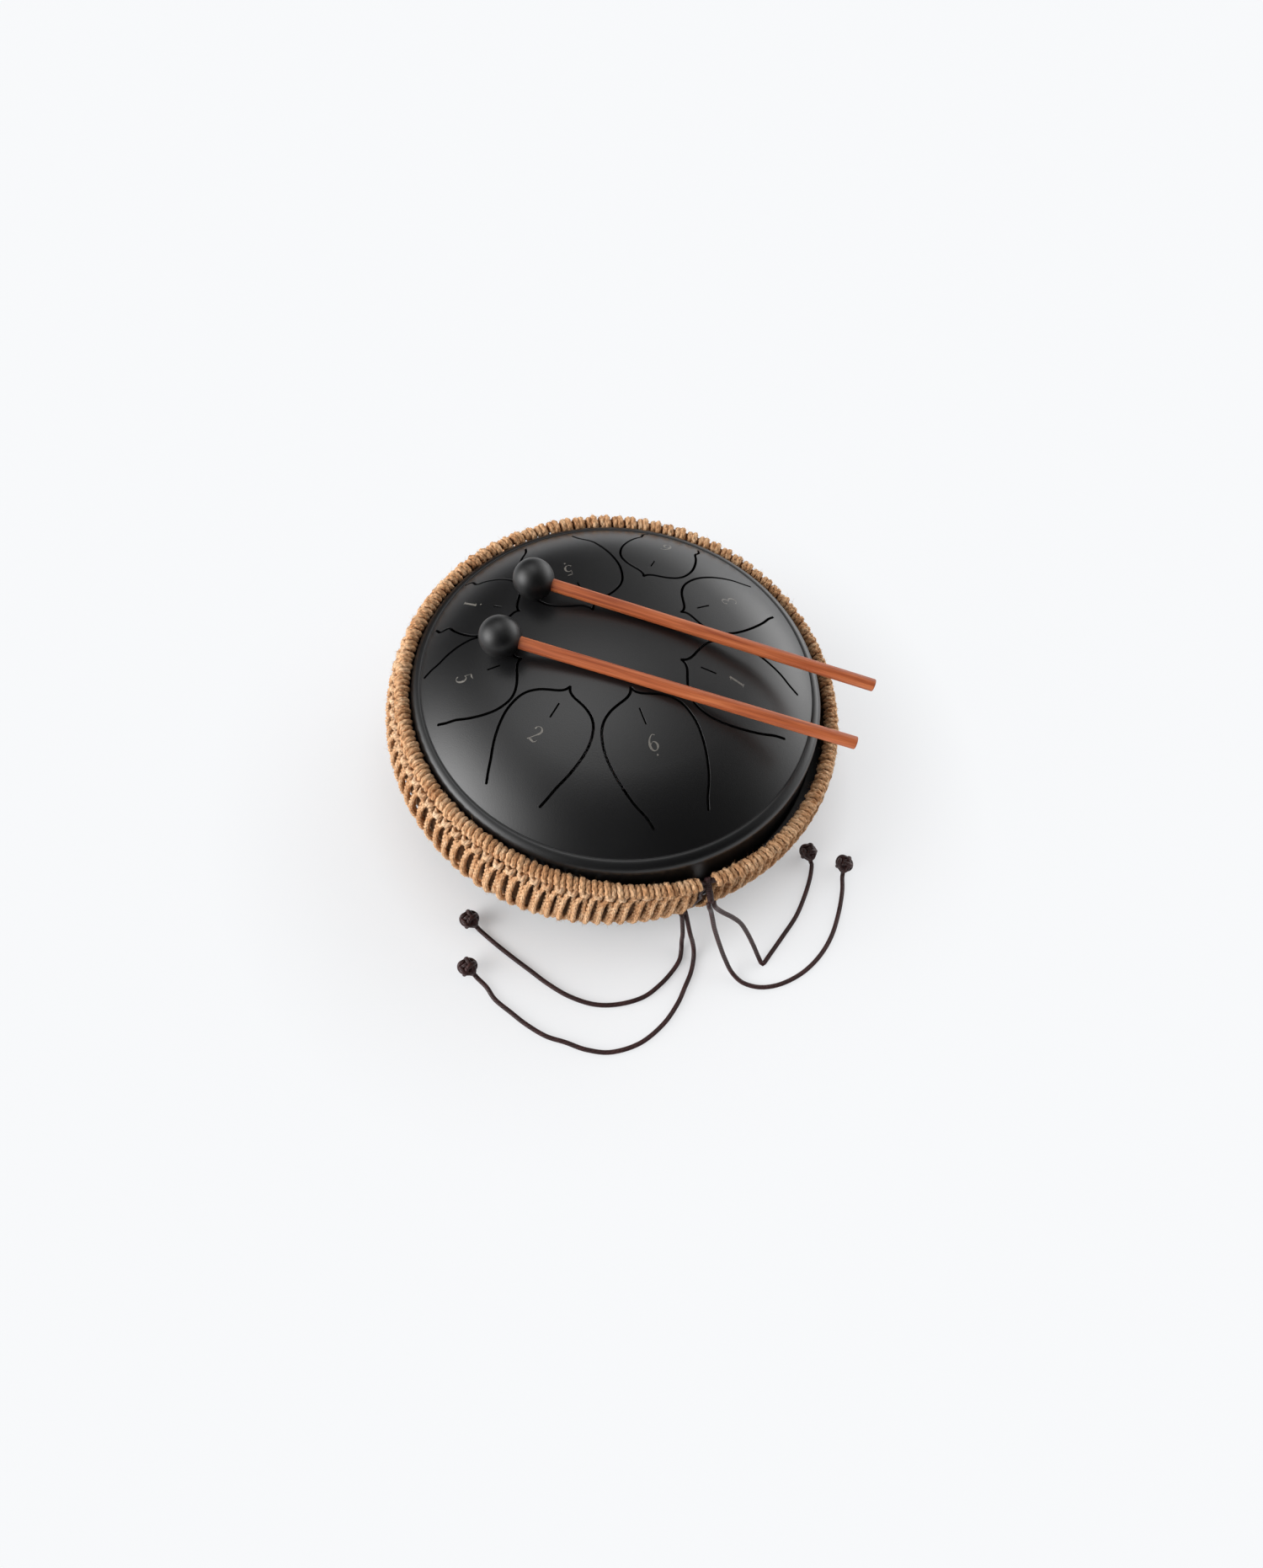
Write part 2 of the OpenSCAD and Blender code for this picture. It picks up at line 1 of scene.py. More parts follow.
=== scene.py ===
# %% [markdown]
# A steel tongue drum in a crocheted cover
#
# The drum is two pressed steel shells that meet at a flange. Eight petal shaped tongues are cut through the
# dome. A crocheted sleeve is laced round it with two dark satin cords, and two mallets lie across the dome.
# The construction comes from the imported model, which is loaded here as a fixed frame. Everything that is
# made below is measured in metres from the same origin: on the drum's axis, at the floor.

# %% Load the frame
import math
import random

import bmesh
import bpy
import numpy as np
from mathutils import Matrix, Vector


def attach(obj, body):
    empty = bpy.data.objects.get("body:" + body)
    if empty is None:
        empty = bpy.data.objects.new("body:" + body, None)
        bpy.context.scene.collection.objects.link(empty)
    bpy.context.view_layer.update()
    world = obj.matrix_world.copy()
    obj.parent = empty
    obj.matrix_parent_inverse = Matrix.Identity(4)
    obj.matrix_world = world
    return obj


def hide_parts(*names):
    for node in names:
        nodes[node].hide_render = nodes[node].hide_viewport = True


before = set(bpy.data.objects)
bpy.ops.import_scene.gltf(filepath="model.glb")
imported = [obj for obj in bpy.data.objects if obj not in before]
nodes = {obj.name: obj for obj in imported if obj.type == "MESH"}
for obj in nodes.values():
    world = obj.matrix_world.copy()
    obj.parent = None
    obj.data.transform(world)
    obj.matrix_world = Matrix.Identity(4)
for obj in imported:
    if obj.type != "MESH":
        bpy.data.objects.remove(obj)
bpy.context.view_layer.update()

MM = 0.001
random.seed(7)
print("the frame holds", len(nodes), "pieces")

# %% [markdown]
# The camera comes first, because it decides how the cords lie in the picture. It was found by fitting the
# crease of the dome, the rim of the cover and the depth of the mallets. Its axes are written as the three
# columns of a turning matrix: right, up and backwards.

# %% The camera
PHOTO_WIDTH = 1500
PHOTO_HEIGHT = 1862
FOCAL_PX = 1000
SENSOR = 36
CAMERA_PLACE = (0.0186, -0.2955, 0.5382)

view_right = Vector((0.9844, 0.1561, 0.0813)).normalized()
view_forward = Vector((0.0, 0.4621, -0.8868)).normalized()
view_up = view_right.cross(view_forward).normalized()
view_right = view_forward.cross(view_up).normalized()

camera_data = bpy.data.cameras.new("camera")
camera = bpy.data.objects.new("camera", camera_data)
bpy.context.scene.collection.objects.link(camera)
turn = Matrix((view_right, view_up, -view_forward)).transposed().to_4x4()
camera.matrix_world = Matrix.Translation(CAMERA_PLACE) @ turn
camera_data.sensor_width = SENSOR
camera_data.lens = SENSOR * FOCAL_PX / max(PHOTO_WIDTH, PHOTO_HEIGHT)
camera_data.clip_start = 0.01
bpy.context.scene.camera = camera
print("lens", round(camera_data.lens, 2), "mm")

# %% [markdown]
# Small helpers. Every finished piece is an ordinary mesh at the origin with its place in its vertices.
# Round strands of all kinds, from a satin cord to a crochet yarn, are swept by one function: it carries a
# frame along the route without twisting it, and writes a UV map with the length in metres along U and the
# turn round the strand along V. The materials draw the twist of the threads on that map.

# %% Helpers for meshes
def deselect():
    if bpy.context.mode != "OBJECT":
        bpy.ops.object.mode_set(mode="OBJECT")
    bpy.ops.object.select_all(action="DESELECT")


def activate(piece):
    deselect()
    piece.select_set(True)
    bpy.context.view_layer.objects.active = piece


def mesh_piece(name, points, faces, uvs=None, smooth=True):
    mesh = bpy.data.meshes.new(name)
    mesh.from_pydata([tuple(p) for p in points], [], [tuple(f) for f in faces])
    if uvs is not None:
        layer = mesh.uv_layers.new(name="strand")
        layer.data.foreach_set("uv", np.asarray(uvs, float).ravel())
    mesh.polygons.foreach_set("use_smooth", [smooth] * len(mesh.polygons))
    mesh.update()
    piece = bpy.data.objects.new(name, mesh)
    bpy.context.scene.collection.objects.link(piece)
    return piece


def joined(pieces):
    activate(pieces[0])
    for piece in pieces:
        piece.select_set(True)
    bpy.ops.object.join()
    return bpy.context.view_layer.objects.active


def face_outwards(piece):
    activate(piece)
    bpy.ops.object.mode_set(mode="EDIT")
    bpy.ops.mesh.select_all(action="SELECT")
    bpy.ops.mesh.normals_make_consistent(inside=False)
    bpy.ops.object.mode_set(mode="OBJECT")


def shade_by_angle(piece, degrees):
    activate(piece)
    bpy.ops.object.shade_smooth_by_angle(angle=math.radians(degrees))


def hand_in(piece, material, stood_for=None, body="drum"):
    """Gives a finished piece its material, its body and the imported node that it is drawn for."""
    piece.data.materials.append(material)
    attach(piece, body)
    if stood_for:
        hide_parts(stood_for)


def lengths(path):
    """The length along a route at each of its points."""
    return np.concatenate([[0], np.cumsum(np.linalg.norm(np.diff(path, axis=0), axis=1))])


def carried_frames(path, start):
    """Two directions across the route at each of its points, carried along it without twisting."""
    tangents = np.gradient(path, axis=0)
    tangents /= np.linalg.norm(tangents, axis=1)[:, None]
    ups = np.empty_like(path)
    up = np.asarray(start, float)
    for i, t in enumerate(tangents):
        up = up - t * (up @ t)
        up /= np.linalg.norm(up)
        ups[i] = up
    return ups, np.cross(tangents, ups)


# where a carried frame starts: nearly upright, and another for the strands that go over a roll
UPRIGHT, OVER_ROLL = (0.02, 0.03, 1.0), (0.3, 0.2, 1.0)


def wound(turn, first, second):
    """A unit vector that turns from the first way towards the second, one for each angle."""
    return np.cos(turn)[:, None] * first + np.sin(turn)[:, None] * second


def strands(name, paths, radius, sides, start=UPRIGHT, taper=None, sizes=None):
    """Sweeps one or many routes into a single mesh. radius is one number, or one for each point."""
    points, faces, uvs = [], [], []
    shift = random.Random(len(paths))
    angles = np.linspace(0, 2 * np.pi, sides, endpoint=False)
    for path, size in zip(paths, sizes or [1] * len(paths)):
        path = np.asarray(path, float)
        count = len(path)
        ups, sideways = carried_frames(path, start)
        r = size * np.broadcast_to(radius, count).astype(float)
        if taper is not None:
            r = r * taper(np.linspace(0, 1, count))
        rings = (path[:, None]
                 + r[:, None, None] * (np.cos(angles)[None, :, None] * ups[:, None]
                                       + np.sin(angles)[None, :, None] * sideways[:, None]))
        along = lengths(path) + shift.random() * 0.05
        base = len(points)
        points.extend(rings.reshape(-1, 3))
        for i in range(count - 1):
            for j in range(sides):
                k = (j + 1) % sides
                a = base + i * sides
                b = a + sides
                faces.append((a + j, a + k, b + k, b + j))
                uvs.extend(((along[i], j / sides), (along[i], (j + 1) / sides),
                            (along[i + 1], (j + 1) / sides), (along[i + 1], j / sides)))
        for ring, order in ((0, range(sides - 1, -1, -1)), (count - 1, range(sides))):
            faces.append([base + ring * sides + j for j in order])
            uvs.extend([(along[ring], 0.5)] * sides)
    return mesh_piece(name, points, faces, uvs)


def smooth_route(points, spacing):
    """A Catmull-Rom curve through the points, resampled at an even spacing."""
    points = np.asarray(points, float)
    padded = np.vstack([2 * points[0] - points[1], points, 2 * points[-1] - points[-2]])
    fine = []
    for i in range(len(points) - 1):
        a, b, c, d = padded[i:i + 4]
        for t in np.linspace(0, 1, 16, endpoint=False):
            fine.append(0.5 * (2 * b + (c - a) * t + (2 * a - 5 * b + 4 * c - d) * t**2
                               + (3 * b - a - 3 * c + d) * t**3))
    fine.append(points[-1])
    fine = np.array(fine)
    length = lengths(fine)
    even = np.linspace(0, length[-1], max(3, int(length[-1] / spacing) + 1))
    return np.column_stack([np.interp(even, length, fine[:, k]) for k in range(3)])


def plied(paths, apart, lay, spacing, start=UPRIGHT):
    """Splits each route into two plies that wind round it, each at the same distance from it."""
    made = []
    for path in paths:
        route = smooth_route(path, spacing)
        ups, sideways = carried_frames(route, start)
        turn = 2 * np.pi * (lengths(route) / lay + random.random())
        off = apart * wound(turn, ups, sideways)
        made += [route + off, route - off]
    return made


def polar(radius, azimuth, height):
    a = math.radians(azimuth)
    return np.array([radius * math.cos(a), radius * math.sin(a), height])


# %% [markdown]
# Materials. The thread of the satin cord and the plies of the crochet yarn are the same effect at other
# sizes: a spiral that runs along the strand. It is a node group that reads the strand's UV map and puts out
# a height and a mask, and each material sets its own number of plies and length of twist.

# %% Helpers for materials
def new_material(name):
    """A material with a Principled shader. Its last value is the place of a point in the drum's frame."""
    material = bpy.data.materials.new(name)
    material.use_nodes = True
    tree = material.node_tree
    tree.nodes.clear()
    shader = tree.nodes.new("ShaderNodeBsdfPrincipled")
    out = tree.nodes.new("ShaderNodeOutputMaterial")
    tree.links.new(shader.outputs["BSDF"], out.inputs["Surface"])
    return material, tree, shader, node(tree, "TexCoord").outputs["Object"]


def set_input(tree, socket, value):
    if isinstance(value, bpy.types.NodeSocket):
        tree.links.new(value, socket)
    else:
        socket.default_value = value


def node(tree, kind, inputs=None, **settings):
    made = tree.nodes.new("ShaderNode" + kind)
    for key, value in settings.items():
        setattr(made, key, value)
    for key, value in (inputs or {}).items():
        set_input(tree, made.inputs[key], value)
    return made


def maths(tree, operation, a, b=0.0, c=0.0):
    return node(tree, "Math", {0: a, 1: b, 2: c}, operation=operation).outputs[0]


def ramp(tree, fac, stops):
    made = node(tree, "ValToRGB", {"Fac": fac})
    elements = made.color_ramp.elements
    elements[0].position, elements[0].color = stops[0][0], (*stops[0][1], 1)
    elements[1].position, elements[1].color = stops[-1][0], (*stops[-1][1], 1)
    for position, colour in stops[1:-1]:
        elements.new(position).color = (*colour, 1)
    return made.outputs["Color"]


def noise(tree, place, scale, detail, **inputs):
    inputs.update(Vector=place, Scale=scale, Detail=detail)
    return node(tree, "TexNoise", inputs).outputs["Fac"]


def scaled(tree, value, factor):
    return maths(tree, "MULTIPLY", value, factor)


def blend(tree, share, colour, towards):
    """Blends a colour by a share towards a plain one."""
    return node(tree, "Mix", {0: share, 6: colour, 7: (*towards, 1)}, data_type="RGBA").outputs[2]


def times(colour, factor):
    return [c * factor for c in colour]


def dress(tree, shader, colour, roughness, specular, bump=None, sheen=None):
    """Sets a shader. bump is a height, a strength and a distance; sheen a weight, a roughness and a tint."""
    inputs = {"Base Color": colour, "Roughness": roughness, "Specular IOR Level": specular}
    if bump:
        inputs["Normal"] = node(tree, "Bump", dict(zip(("Height", "Strength", "Distance"), bump))).outputs[0]
    if sheen:
        inputs.update(zip(("Sheen Weight", "Sheen Roughness", "Sheen Tint"), sheen))
    for key, value in inputs.items():
        set_input(tree, shader.inputs[key], value)


def twist_group():
    group = bpy.data.node_groups.new("strand_twist", "ShaderNodeTree")
    face = group.interface
    face.new_socket("Plies", in_out="INPUT", socket_type="NodeSocketFloat").default_value = 3
    face.new_socket("Lay", in_out="INPUT", socket_type="NodeSocketFloat").default_value = 0.01
    face.new_socket("Height", in_out="OUTPUT", socket_type="NodeSocketFloat")
    face.new_socket("Valley", in_out="OUTPUT", socket_type="NodeSocketFloat")
    inputs = group.nodes.new("NodeGroupInput")
    outputs = group.nodes.new("NodeGroupOutput")
    uv = node(group, "UVMap", uv_map="strand")
    parts = node(group, "SeparateXYZ", {0: uv.outputs[0]})
    turns = maths(group, "DIVIDE", parts.outputs[0], inputs.outputs["Lay"])
    phase = maths(group, "MULTIPLY", maths(group, "ADD", parts.outputs[1], turns), inputs.outputs["Plies"])
    ply = maths(group, "FRACT", phase)
    centred = maths(group, "SUBTRACT", maths(group, "MULTIPLY", ply, 2.0), 1.0)
    square = maths(group, "MULTIPLY", centred, centred)
    height = maths(group, "SQRT", maths(group, "SUBTRACT", 1.0, maths(group, "MULTIPLY", square, 0.96)))
    group.links.new(height, outputs.inputs["Height"])
    # the valleys between plies: a mask that the materials use to paint shade there
    group.links.new(maths(group, "POWER", maths(group, "ABSOLUTE", centred), 5.0), outputs.inputs["Valley"])
    return group


TWIST = twist_group()


def twist(tree, plies, lay):
    """The height and the valleys of a strand of so many plies, which turn once in a length of lay."""
    made = node(tree, "Group", node_tree=TWIST)
    made.inputs["Plies"].default_value = plies
    made.inputs["Lay"].default_value = lay
    return made.outputs["Height"], made.outputs["Valley"]


# %% [markdown]
# The yarn is a soft golden brown jute-like cotton. Two sizes of twist make it read as spun: three plies,
# and fine fibres in them. Shade is painted into the valleys between the plies and between the fibres, and a
# slow noise makes some stretches paler, as handled yarn is.

# %% Yarn material
def yarn_material(name, pale, mid, dark):
    material, tree, shader, place = new_material(name)
    ply_height, ply_valley = twist(tree, 3, 0.0075)
    fibre_height, fibre_valley = twist(tree, 11, 0.006)
    fleck = noise(tree, place, 1500.0, 2.0)
    tone = ramp(tree, noise(tree, place, 130.0, 3.0), [(0.34, dark), (0.5, mid), (0.68, pale)])
    # painted shade: the valleys between the plies, and then those between the fibres, are darkened
    shade = blend(tree, scaled(tree, ply_valley, 0.65), tone, times(dark, 0.40))
    fibre_shaded = blend(tree, scaled(tree, fibre_valley, 0.45), shade, times(dark, 0.5))
    height = maths(tree, "ADD", ply_height, scaled(tree, fibre_height, 0.35))
    height = maths(tree, "ADD", height, scaled(tree, fleck, 0.5))
    dress(tree, shader, fibre_shaded, 0.85, 0.15, (height, 1.0, 0.00055), (0.15, 0.5, (0.95, 0.78, 0.58, 1)))
    return material


YARN = yarn_material("yarn", (0.93, 0.61, 0.365), (0.82, 0.475, 0.250), (0.60, 0.300, 0.138))
# a paler copy of the yarn, which paints highlight on the crosswise bars and the loose fibres
YARN_PAINTED_HIGHLIGHT = yarn_material("yarn_painted_highlight", (0.94, 0.68, 0.46), (0.88, 0.57, 0.34), (0.72, 0.41, 0.22))
# a darker copy of the yarn, which paints shade on the posts behind and in the fillings of the rim and the hem
YARN_PAINTED_SHADE = yarn_material("yarn_painted_shade", (0.36, 0.19, 0.09), (0.25, 0.125, 0.058), (0.15, 0.072, 0.034))

# %% [markdown]
# The cords are dark brown satin, a smooth round braid of fine threads with a soft gloss. The same twist is
# used with many plies, and shade is painted into the valleys between the threads.

# %% Cord material
def cord_material(name, colour, plies, lay):
    material, tree, shader, place = new_material(name)
    height, valley = twist(tree, plies, lay)
    patches = noise(tree, place, 180.0, 2.0)
    tone = ramp(tree, patches, [(0.35, times(colour, 0.7)), (0.7, times(colour, 1.35))])
    # painted shade: the valleys between the threads are darkened
    shade = blend(tree, scaled(tree, valley, 0.7), tone, times(colour, 0.25))
    dress(tree, shader, shade, 0.45, 0.35, (height, 0.8, 0.0003), (0.10, 0.4, (0.8, 0.45, 0.42, 1)))
    return material


CORD = cord_material("satin_cord", (0.036, 0.0125, 0.0120), 4, 0.012)
CORD_THREAD = cord_material("satin_thread", (0.032, 0.0115, 0.0115), 2, 0.004)

# %% [markdown]
# The free cords. Each leaves its knot, drops to the floor and lies there in the loose curve that the
# photograph shows, up to the round knot at its end. Their laid points are those of the imported model. The
# cover is drawn in a little at its slit, so the knot at the hem starts further in and higher than the
# one in the imported model.

# %% Cord routes
CREASE_R, CREASE_H, SEAM_H = 120 * MM, 108 * MM, 69 * MM
CORD_D, CORD_LEAD = 3 * MM, 3 * MM
BEAD_D, BEAD_STEM = 11.6 * MM, 1.5 * MM
SEAT_GAP = 0.3 * MM

RIM_R, RIM_BULGE, RIM_DROP = 131.9 * MM, 6 * MM, 5.3 * MM
RIM_SAG = 0.41 * (CREASE_H - SEAM_H)
SAG_AZIMUTH, SAG_SPAN = -16.4, 115
SLIT_TOP, SLIT_HEM = -58.5, -61.5
HEM_H, HEM_R = 37 * MM, 134 * MM
TUCK_AZIMUTH, TUCK_SPAN = -57, 60
BELLY_TUCK, HEM_TUCK, HEM_LIFT = 5 * MM, 6 * MM, 4 * MM


def swell(azimuth, middle, span):
    """A smooth bump round the drum: 1 at its middle, falling to 0 at a span to either side."""
    turned = (azimuth - middle + 540) % 360 - 180
    return (1 + math.cos(math.pi * turned / span)) / 2 if abs(turned) < span else 0


def rim_height(azimuth):
    return CREASE_H - RIM_DROP - RIM_SAG * swell(azimuth, SAG_AZIMUTH, SAG_SPAN)


def rim_centre(azimuth):
    radius = RIM_R + RIM_BULGE * swell(azimuth, SAG_AZIMUTH, SAG_SPAN)
    return polar(radius, azimuth, rim_height(azimuth))


def tuck(azimuth):
    """The lacing draws the cover in towards the steel, most of all at the slit."""
    return swell(azimuth, TUCK_AZIMUTH, TUCK_SPAN)


def hem_height(azimuth):
    return HEM_H + HEM_LIFT * tuck(azimuth)


def hem_centre(azimuth):
    return polar(HEM_R - HEM_TUCK * tuck(azimuth), azimuth, hem_height(azimuth))


def unit(v):
    return np.asarray(v, float) / np.linalg.norm(v)


rim_knot_start = rim_centre(SLIT_TOP)
rim_knot_end = rim_knot_start + np.array([4.46, -7.64, -9.93]) * MM
hem_knot_start = hem_centre(SLIT_HEM)
hem_knot_end = hem_knot_start + np.array([3.7, -3.2, -8.1]) * MM
rim_way = unit(rim_knot_end - rim_knot_start)
hem_way = unit(hem_knot_end - hem_knot_start)

# knot, way, side, round knot and its centre, then the laid points: x, y and height in thousandths of the
# crease's radius
cord_routes = {
    "hem_cord_left": (hem_knot_end, hem_way, -1, "hem_left_bead", (-576, -1138), [
        (567, -1026, 113), (575, -1048, 37), (582, -1085, 4), (580, -1140, 0), (552, -1206, 0),
        (499, -1288, 0), (416, -1375, 0), (292, -1435, 0), (164, -1458, 0), (27, -1439, 0), (-96, -1394, 0),
        (-203, -1341, 0), (-310, -1288, 0), (-421, -1229, 0), (-508, -1179, 4)]),
    "hem_cord_right": (hem_knot_end, hem_way, 1, "hem_right_bead", (-523, -1392), [
        (601, -1031, 154), (628, -1051, 79), (648, -1080, 21), (655, -1132, 0), (649, -1203, 0),
        (629, -1280, 0), (600, -1379, 0), (539, -1498, 0), (434, -1613, 0), (296, -1682, 0),
        (168, -1692, 0), (54, -1674, 0), (-50, -1661, 0), (-161, -1621, 0), (-256, -1573, 0),
        (-348, -1524, 0), (-406, -1469, 0), (-460, -1434, 4)]),
    "rim_cord_right": (rim_knot_end, rim_way, 1, "rim_right_bead", (1235, -388), [
        (676, -1028, 579), (718, -1020, 517), (774, -1007, 442), (836, -998, 346), (894, -1007, 237),
        (949, -1027, 129), (997, -1053, 37), (1027, -1079, 0), (1040, -1076, 0), (1071, -1019, 0),
        (1127, -915, 0), (1198, -777, 0), (1240, -645, 0), (1264, -531, 0), (1269, -451, 4)]),
    "rim_cord_left": (rim_knot_end, rim_way, -1, "rim_left_bead", (1448, -422), [
        (645, -1045, 579), (669, -1055, 496), (698, -1070, 396), (753, -1097, 246), (809, -1126, 113),
        (868, -1165, 21), (939, -1205, 0), (1036, -1211, 0), (1146, -1172, 0), (1258, -1089, 0),
        (1346, -979, 0), (1406, -853, 0), (1440, -710, 0), (1455, -578, 0), (1451, -494, 4)]),
}


def laid_route(end, way, side, bead, shares):
    """The cord's points, the middle of its round knot and the way that it goes into the knot."""
    across = unit(np.cross((0, 0, 1), way))
    start = end + side * (CORD_D / 2 + SEAT_GAP / 2) * across
    laid = [np.array(point) * CREASE_R / 1000 + (0, 0, CORD_D / 2) for point in shares]
    centre = np.array([*bead, 0]) * CREASE_R / 1000 + (0, 0, BEAD_D / 2)
    stem = centre - unit(centre - laid[-1]) * (BEAD_D / 2 + BEAD_STEM)
    return np.array([start, start + CORD_LEAD * way, *laid, stem]), centre, unit(centre - laid[-1])


# %% [markdown]
# The round knot at a cord's end is a button knot: one strand that goes over and under itself round a ball.
# Three leads and four bights make it: the strand passes each of its eight crossings twice, once over and
# once under, so its distance from the middle swings eight times on the way round.

# %% Beads and cords
KNOT_D = 13.4 * MM
KNOT_STRAND_R, KNOT_SWING = 0.5 * CORD_D, 0.5 * MM
CORD_STEP, CORD_SIDES = 1.5 * MM, 12


def button_knot(name, centre, way):
    across = unit(np.cross((0, 0, 1), way))
    t = np.linspace(0, 2 * np.pi, 121)
    leads, bights = 3, 4
    reach = KNOT_D / 2 - KNOT_STRAND_R - KNOT_SWING + KNOT_SWING * np.sin(2 * bights * t)
    latitude = 0.88 * np.cos(bights * t)
    longitude = leads * t
    axis = unit(0.5 * np.asarray(way) + 0.3 * across + np.array([0, 0, 1.0]))
    east = unit(np.cross(axis, across))
    north = np.cross(axis, east)
    middle = np.array([centre[0], centre[1], KNOT_D / 2])
    route = middle + reach[:, None] * wound(latitude, wound(longitude, east, north), axis)
    knot = strands(name, [route], KNOT_STRAND_R, CORD_SIDES)
    core_route = [middle + way * BEAD_D * s for s in (-0.3, -0.15, 0.0, 0.15, 0.3)]
    tail_route = [centre - way * (BEAD_D / 2 + BEAD_STEM) * s for s in (1.0, 0.8, 0.6, 0.4)]
    core = strands(name + "_core", [core_route], 0.33 * BEAD_D, CORD_SIDES)
    tail = strands(name + "_tail", [tail_route], 0.5 * CORD_D, CORD_SIDES)
    return joined([knot, core, tail])


for name, (end, way, side, bead_name, bead, shares) in cord_routes.items():
    points, centre, bead_way = laid_route(end, way, side, bead, shares)
    route = smooth_route(points, CORD_STEP)
    route[:, 2] = np.maximum(route[:, 2], CORD_D / 2)
    cord = strands(name + "_satin", [route], CORD_D / 2, CORD_SIDES)
    knot = button_knot(bead_name + "_knot", centre, bead_way)
    hand_in(cord, CORD, name)
    hand_in(knot, CORD, bead_name)

# %% [markdown]
# Where the ends of a drawstring leave the cover they are gathered by thread wound round them. The gathered
# ends are a short core with a lump at its end, and the thread is a helix over it.

# %% Wrapped knots
# the thread's radius, and how far before the end of the knot it stops
THREAD_R, THREAD_STOP = 0.6 * MM, 1.7 * MM


def wrapped_knot(name, start, end, way, turns, lead):
    """The thread starts a lead ahead of the gathered ends, over the edge of the cover."""
    length = float(np.linalg.norm(end - start))
    across = unit(np.cross((0, 0, 1), way))
    up = np.cross(way, across)
    core_route = [start - lead * way + way * (length + lead) * s for s in np.linspace(0, 1, 9)]
    core_radius = np.interp(np.linspace(0, 1, 9), [0, 0.78, 0.90, 1], [1.0, 1.1, 2.2, 1.9]) * MM
    core = strands(name + "_gathered", [core_route], core_radius, 14)
    t = np.linspace(0, turns, 20 * turns + 1)
    along = -lead + t / turns * (length + lead - THREAD_STOP)
    radius = (1.35 + 0.2 * np.sin(np.pi * t / turns)) * MM
    route = start + along[:, None] * way + radius[:, None] * wound(2 * np.pi * t, across, up)
    wrap = strands(name + "_thread", [route], THREAD_R, 8)
    hand_in(core, CORD, name + "_core")
    hand_in(wrap, CORD_THREAD, name + "_wrap")


wrapped_knot("rim_knot", rim_knot_start, rim_knot_end, rim_way, 11, 2.6 * MM)
wrapped_knot("hem_knot", hem_knot_start, hem_knot_end, hem_way, 5, 0.5 * MM)

# %% [markdown]
# The cover's shape. The wall bulges like a barrel, the rim sags on the right, and everything is open at the
# slit. These functions give a place on the cover from a share of the way round it, a height and a distance
# inward from its outer surface.

# %% Shape of the cover
COVER_R = 143.8 * MM
RIM_DRAW, HEM_DRAW = 10.6 * MM, 7 * MM
SLIT_TOP_W, SLIT_HEM_W = 9 * MM, 6 * MM
STITCHES, GATHER = 104, 0.14


def slit_share(height):
    top = rim_height(SLIT_TOP)
    return (top - height) / (top - HEM_H)


def slit_azimuth(height):
    return SLIT_TOP + slit_share(height) * (SLIT_HEM - SLIT_TOP)


def slit_half(height):
    width = SLIT_TOP_W + slit_share(height) * (SLIT_HEM_W - SLIT_TOP_W)
    return math.degrees(math.asin(width / 2 / COVER_R))


def round_share(share, height):
    """The azimuth at a share of the way round the cover, from one edge of the slit to the other."""
    half = slit_half(height)
    return slit_azimuth(height) + half + share * (360 - 2 * half)


def wall_radius(azimuth, height, inset):
    belly = COVER_R - BELLY_TUCK * tuck(azimuth) - inset
    if height > SEAM_H:
        return belly - RIM_DRAW * ((height - SEAM_H) / (CREASE_H - SEAM_H)) ** 2
    return belly - HEM_DRAW * ((SEAM_H - height) / (SEAM_H - HEM_H)) ** 2


def on_wall(share, height, inset):
    azimuth = round_share(share, height)
    return polar(wall_radius(azimuth, height, inset), azimuth, height)


def around(centre, azimuth, angle, radius):
    """A point round a roll of the cover: angle 0 is straight out, 90 is up."""
    a = math.radians(angle)
    return centre + radius * (math.cos(a) * polar(1, azimuth, 0) + math.sin(a) * np.array([0, 0, 1]))


def around_rim(share, angle, radius):
    azimuth = round_share(share, rim_height(SLIT_TOP))
    return around(rim_centre(azimuth), azimuth, angle, radius)


def around_hem(share, angle, radius):
    azimuth = round_share(share, HEM_H)
    return around(hem_centre(azimuth), azimuth, angle, radius)


# %% [markdown]
# The crochet. Each of the stitches round the cover has two fat loops over the rim, two crosswise bars below
# them with highlight painted on as a paler yarn, two long legs that spread into an arch and run down to the
# hem, two more behind them with painted shade, two loops round the hem and a curl at its foot. The loops over
# the rim and the legs in front are two plies each. They are swept as short strands with few faces, because
# each shape repeats hundreds of times. Small random turns keep the rows from looking stamped.

# %% Crochet strands
def jitter(amount):
    return random.uniform(-amount, amount)


def stitch_share(i, offset):
    """The share of the way round at a stitch. The stitches crowd together a little towards the slit."""
    share = (i + 0.5 + offset) / STITCHES
    return share - GATHER * math.sin(2 * math.pi * share) / (2 * math.pi)


def under_rim(share):
    return rim_height(round_share(share, rim_height(SLIT_TOP)))


def over_hem(share):
    return hem_height(round_share(share, HEM_H))


# of the plies: the radius, the distance from the strand's middle, the length of a turn, the spacing of points
RIM_PLY_R, RIM_PLY_APART, RIM_LAY, RIM_STEP = 1.4 * MM, 0.62 * MM, 6.0 * MM, 1.0 * MM
LEG_PLY_R, LEG_PLY_APART, LEG_LAY, LEG_STEP = 1.12 * MM, 0.73 * MM, 8.5 * MM, 1.5 * MM
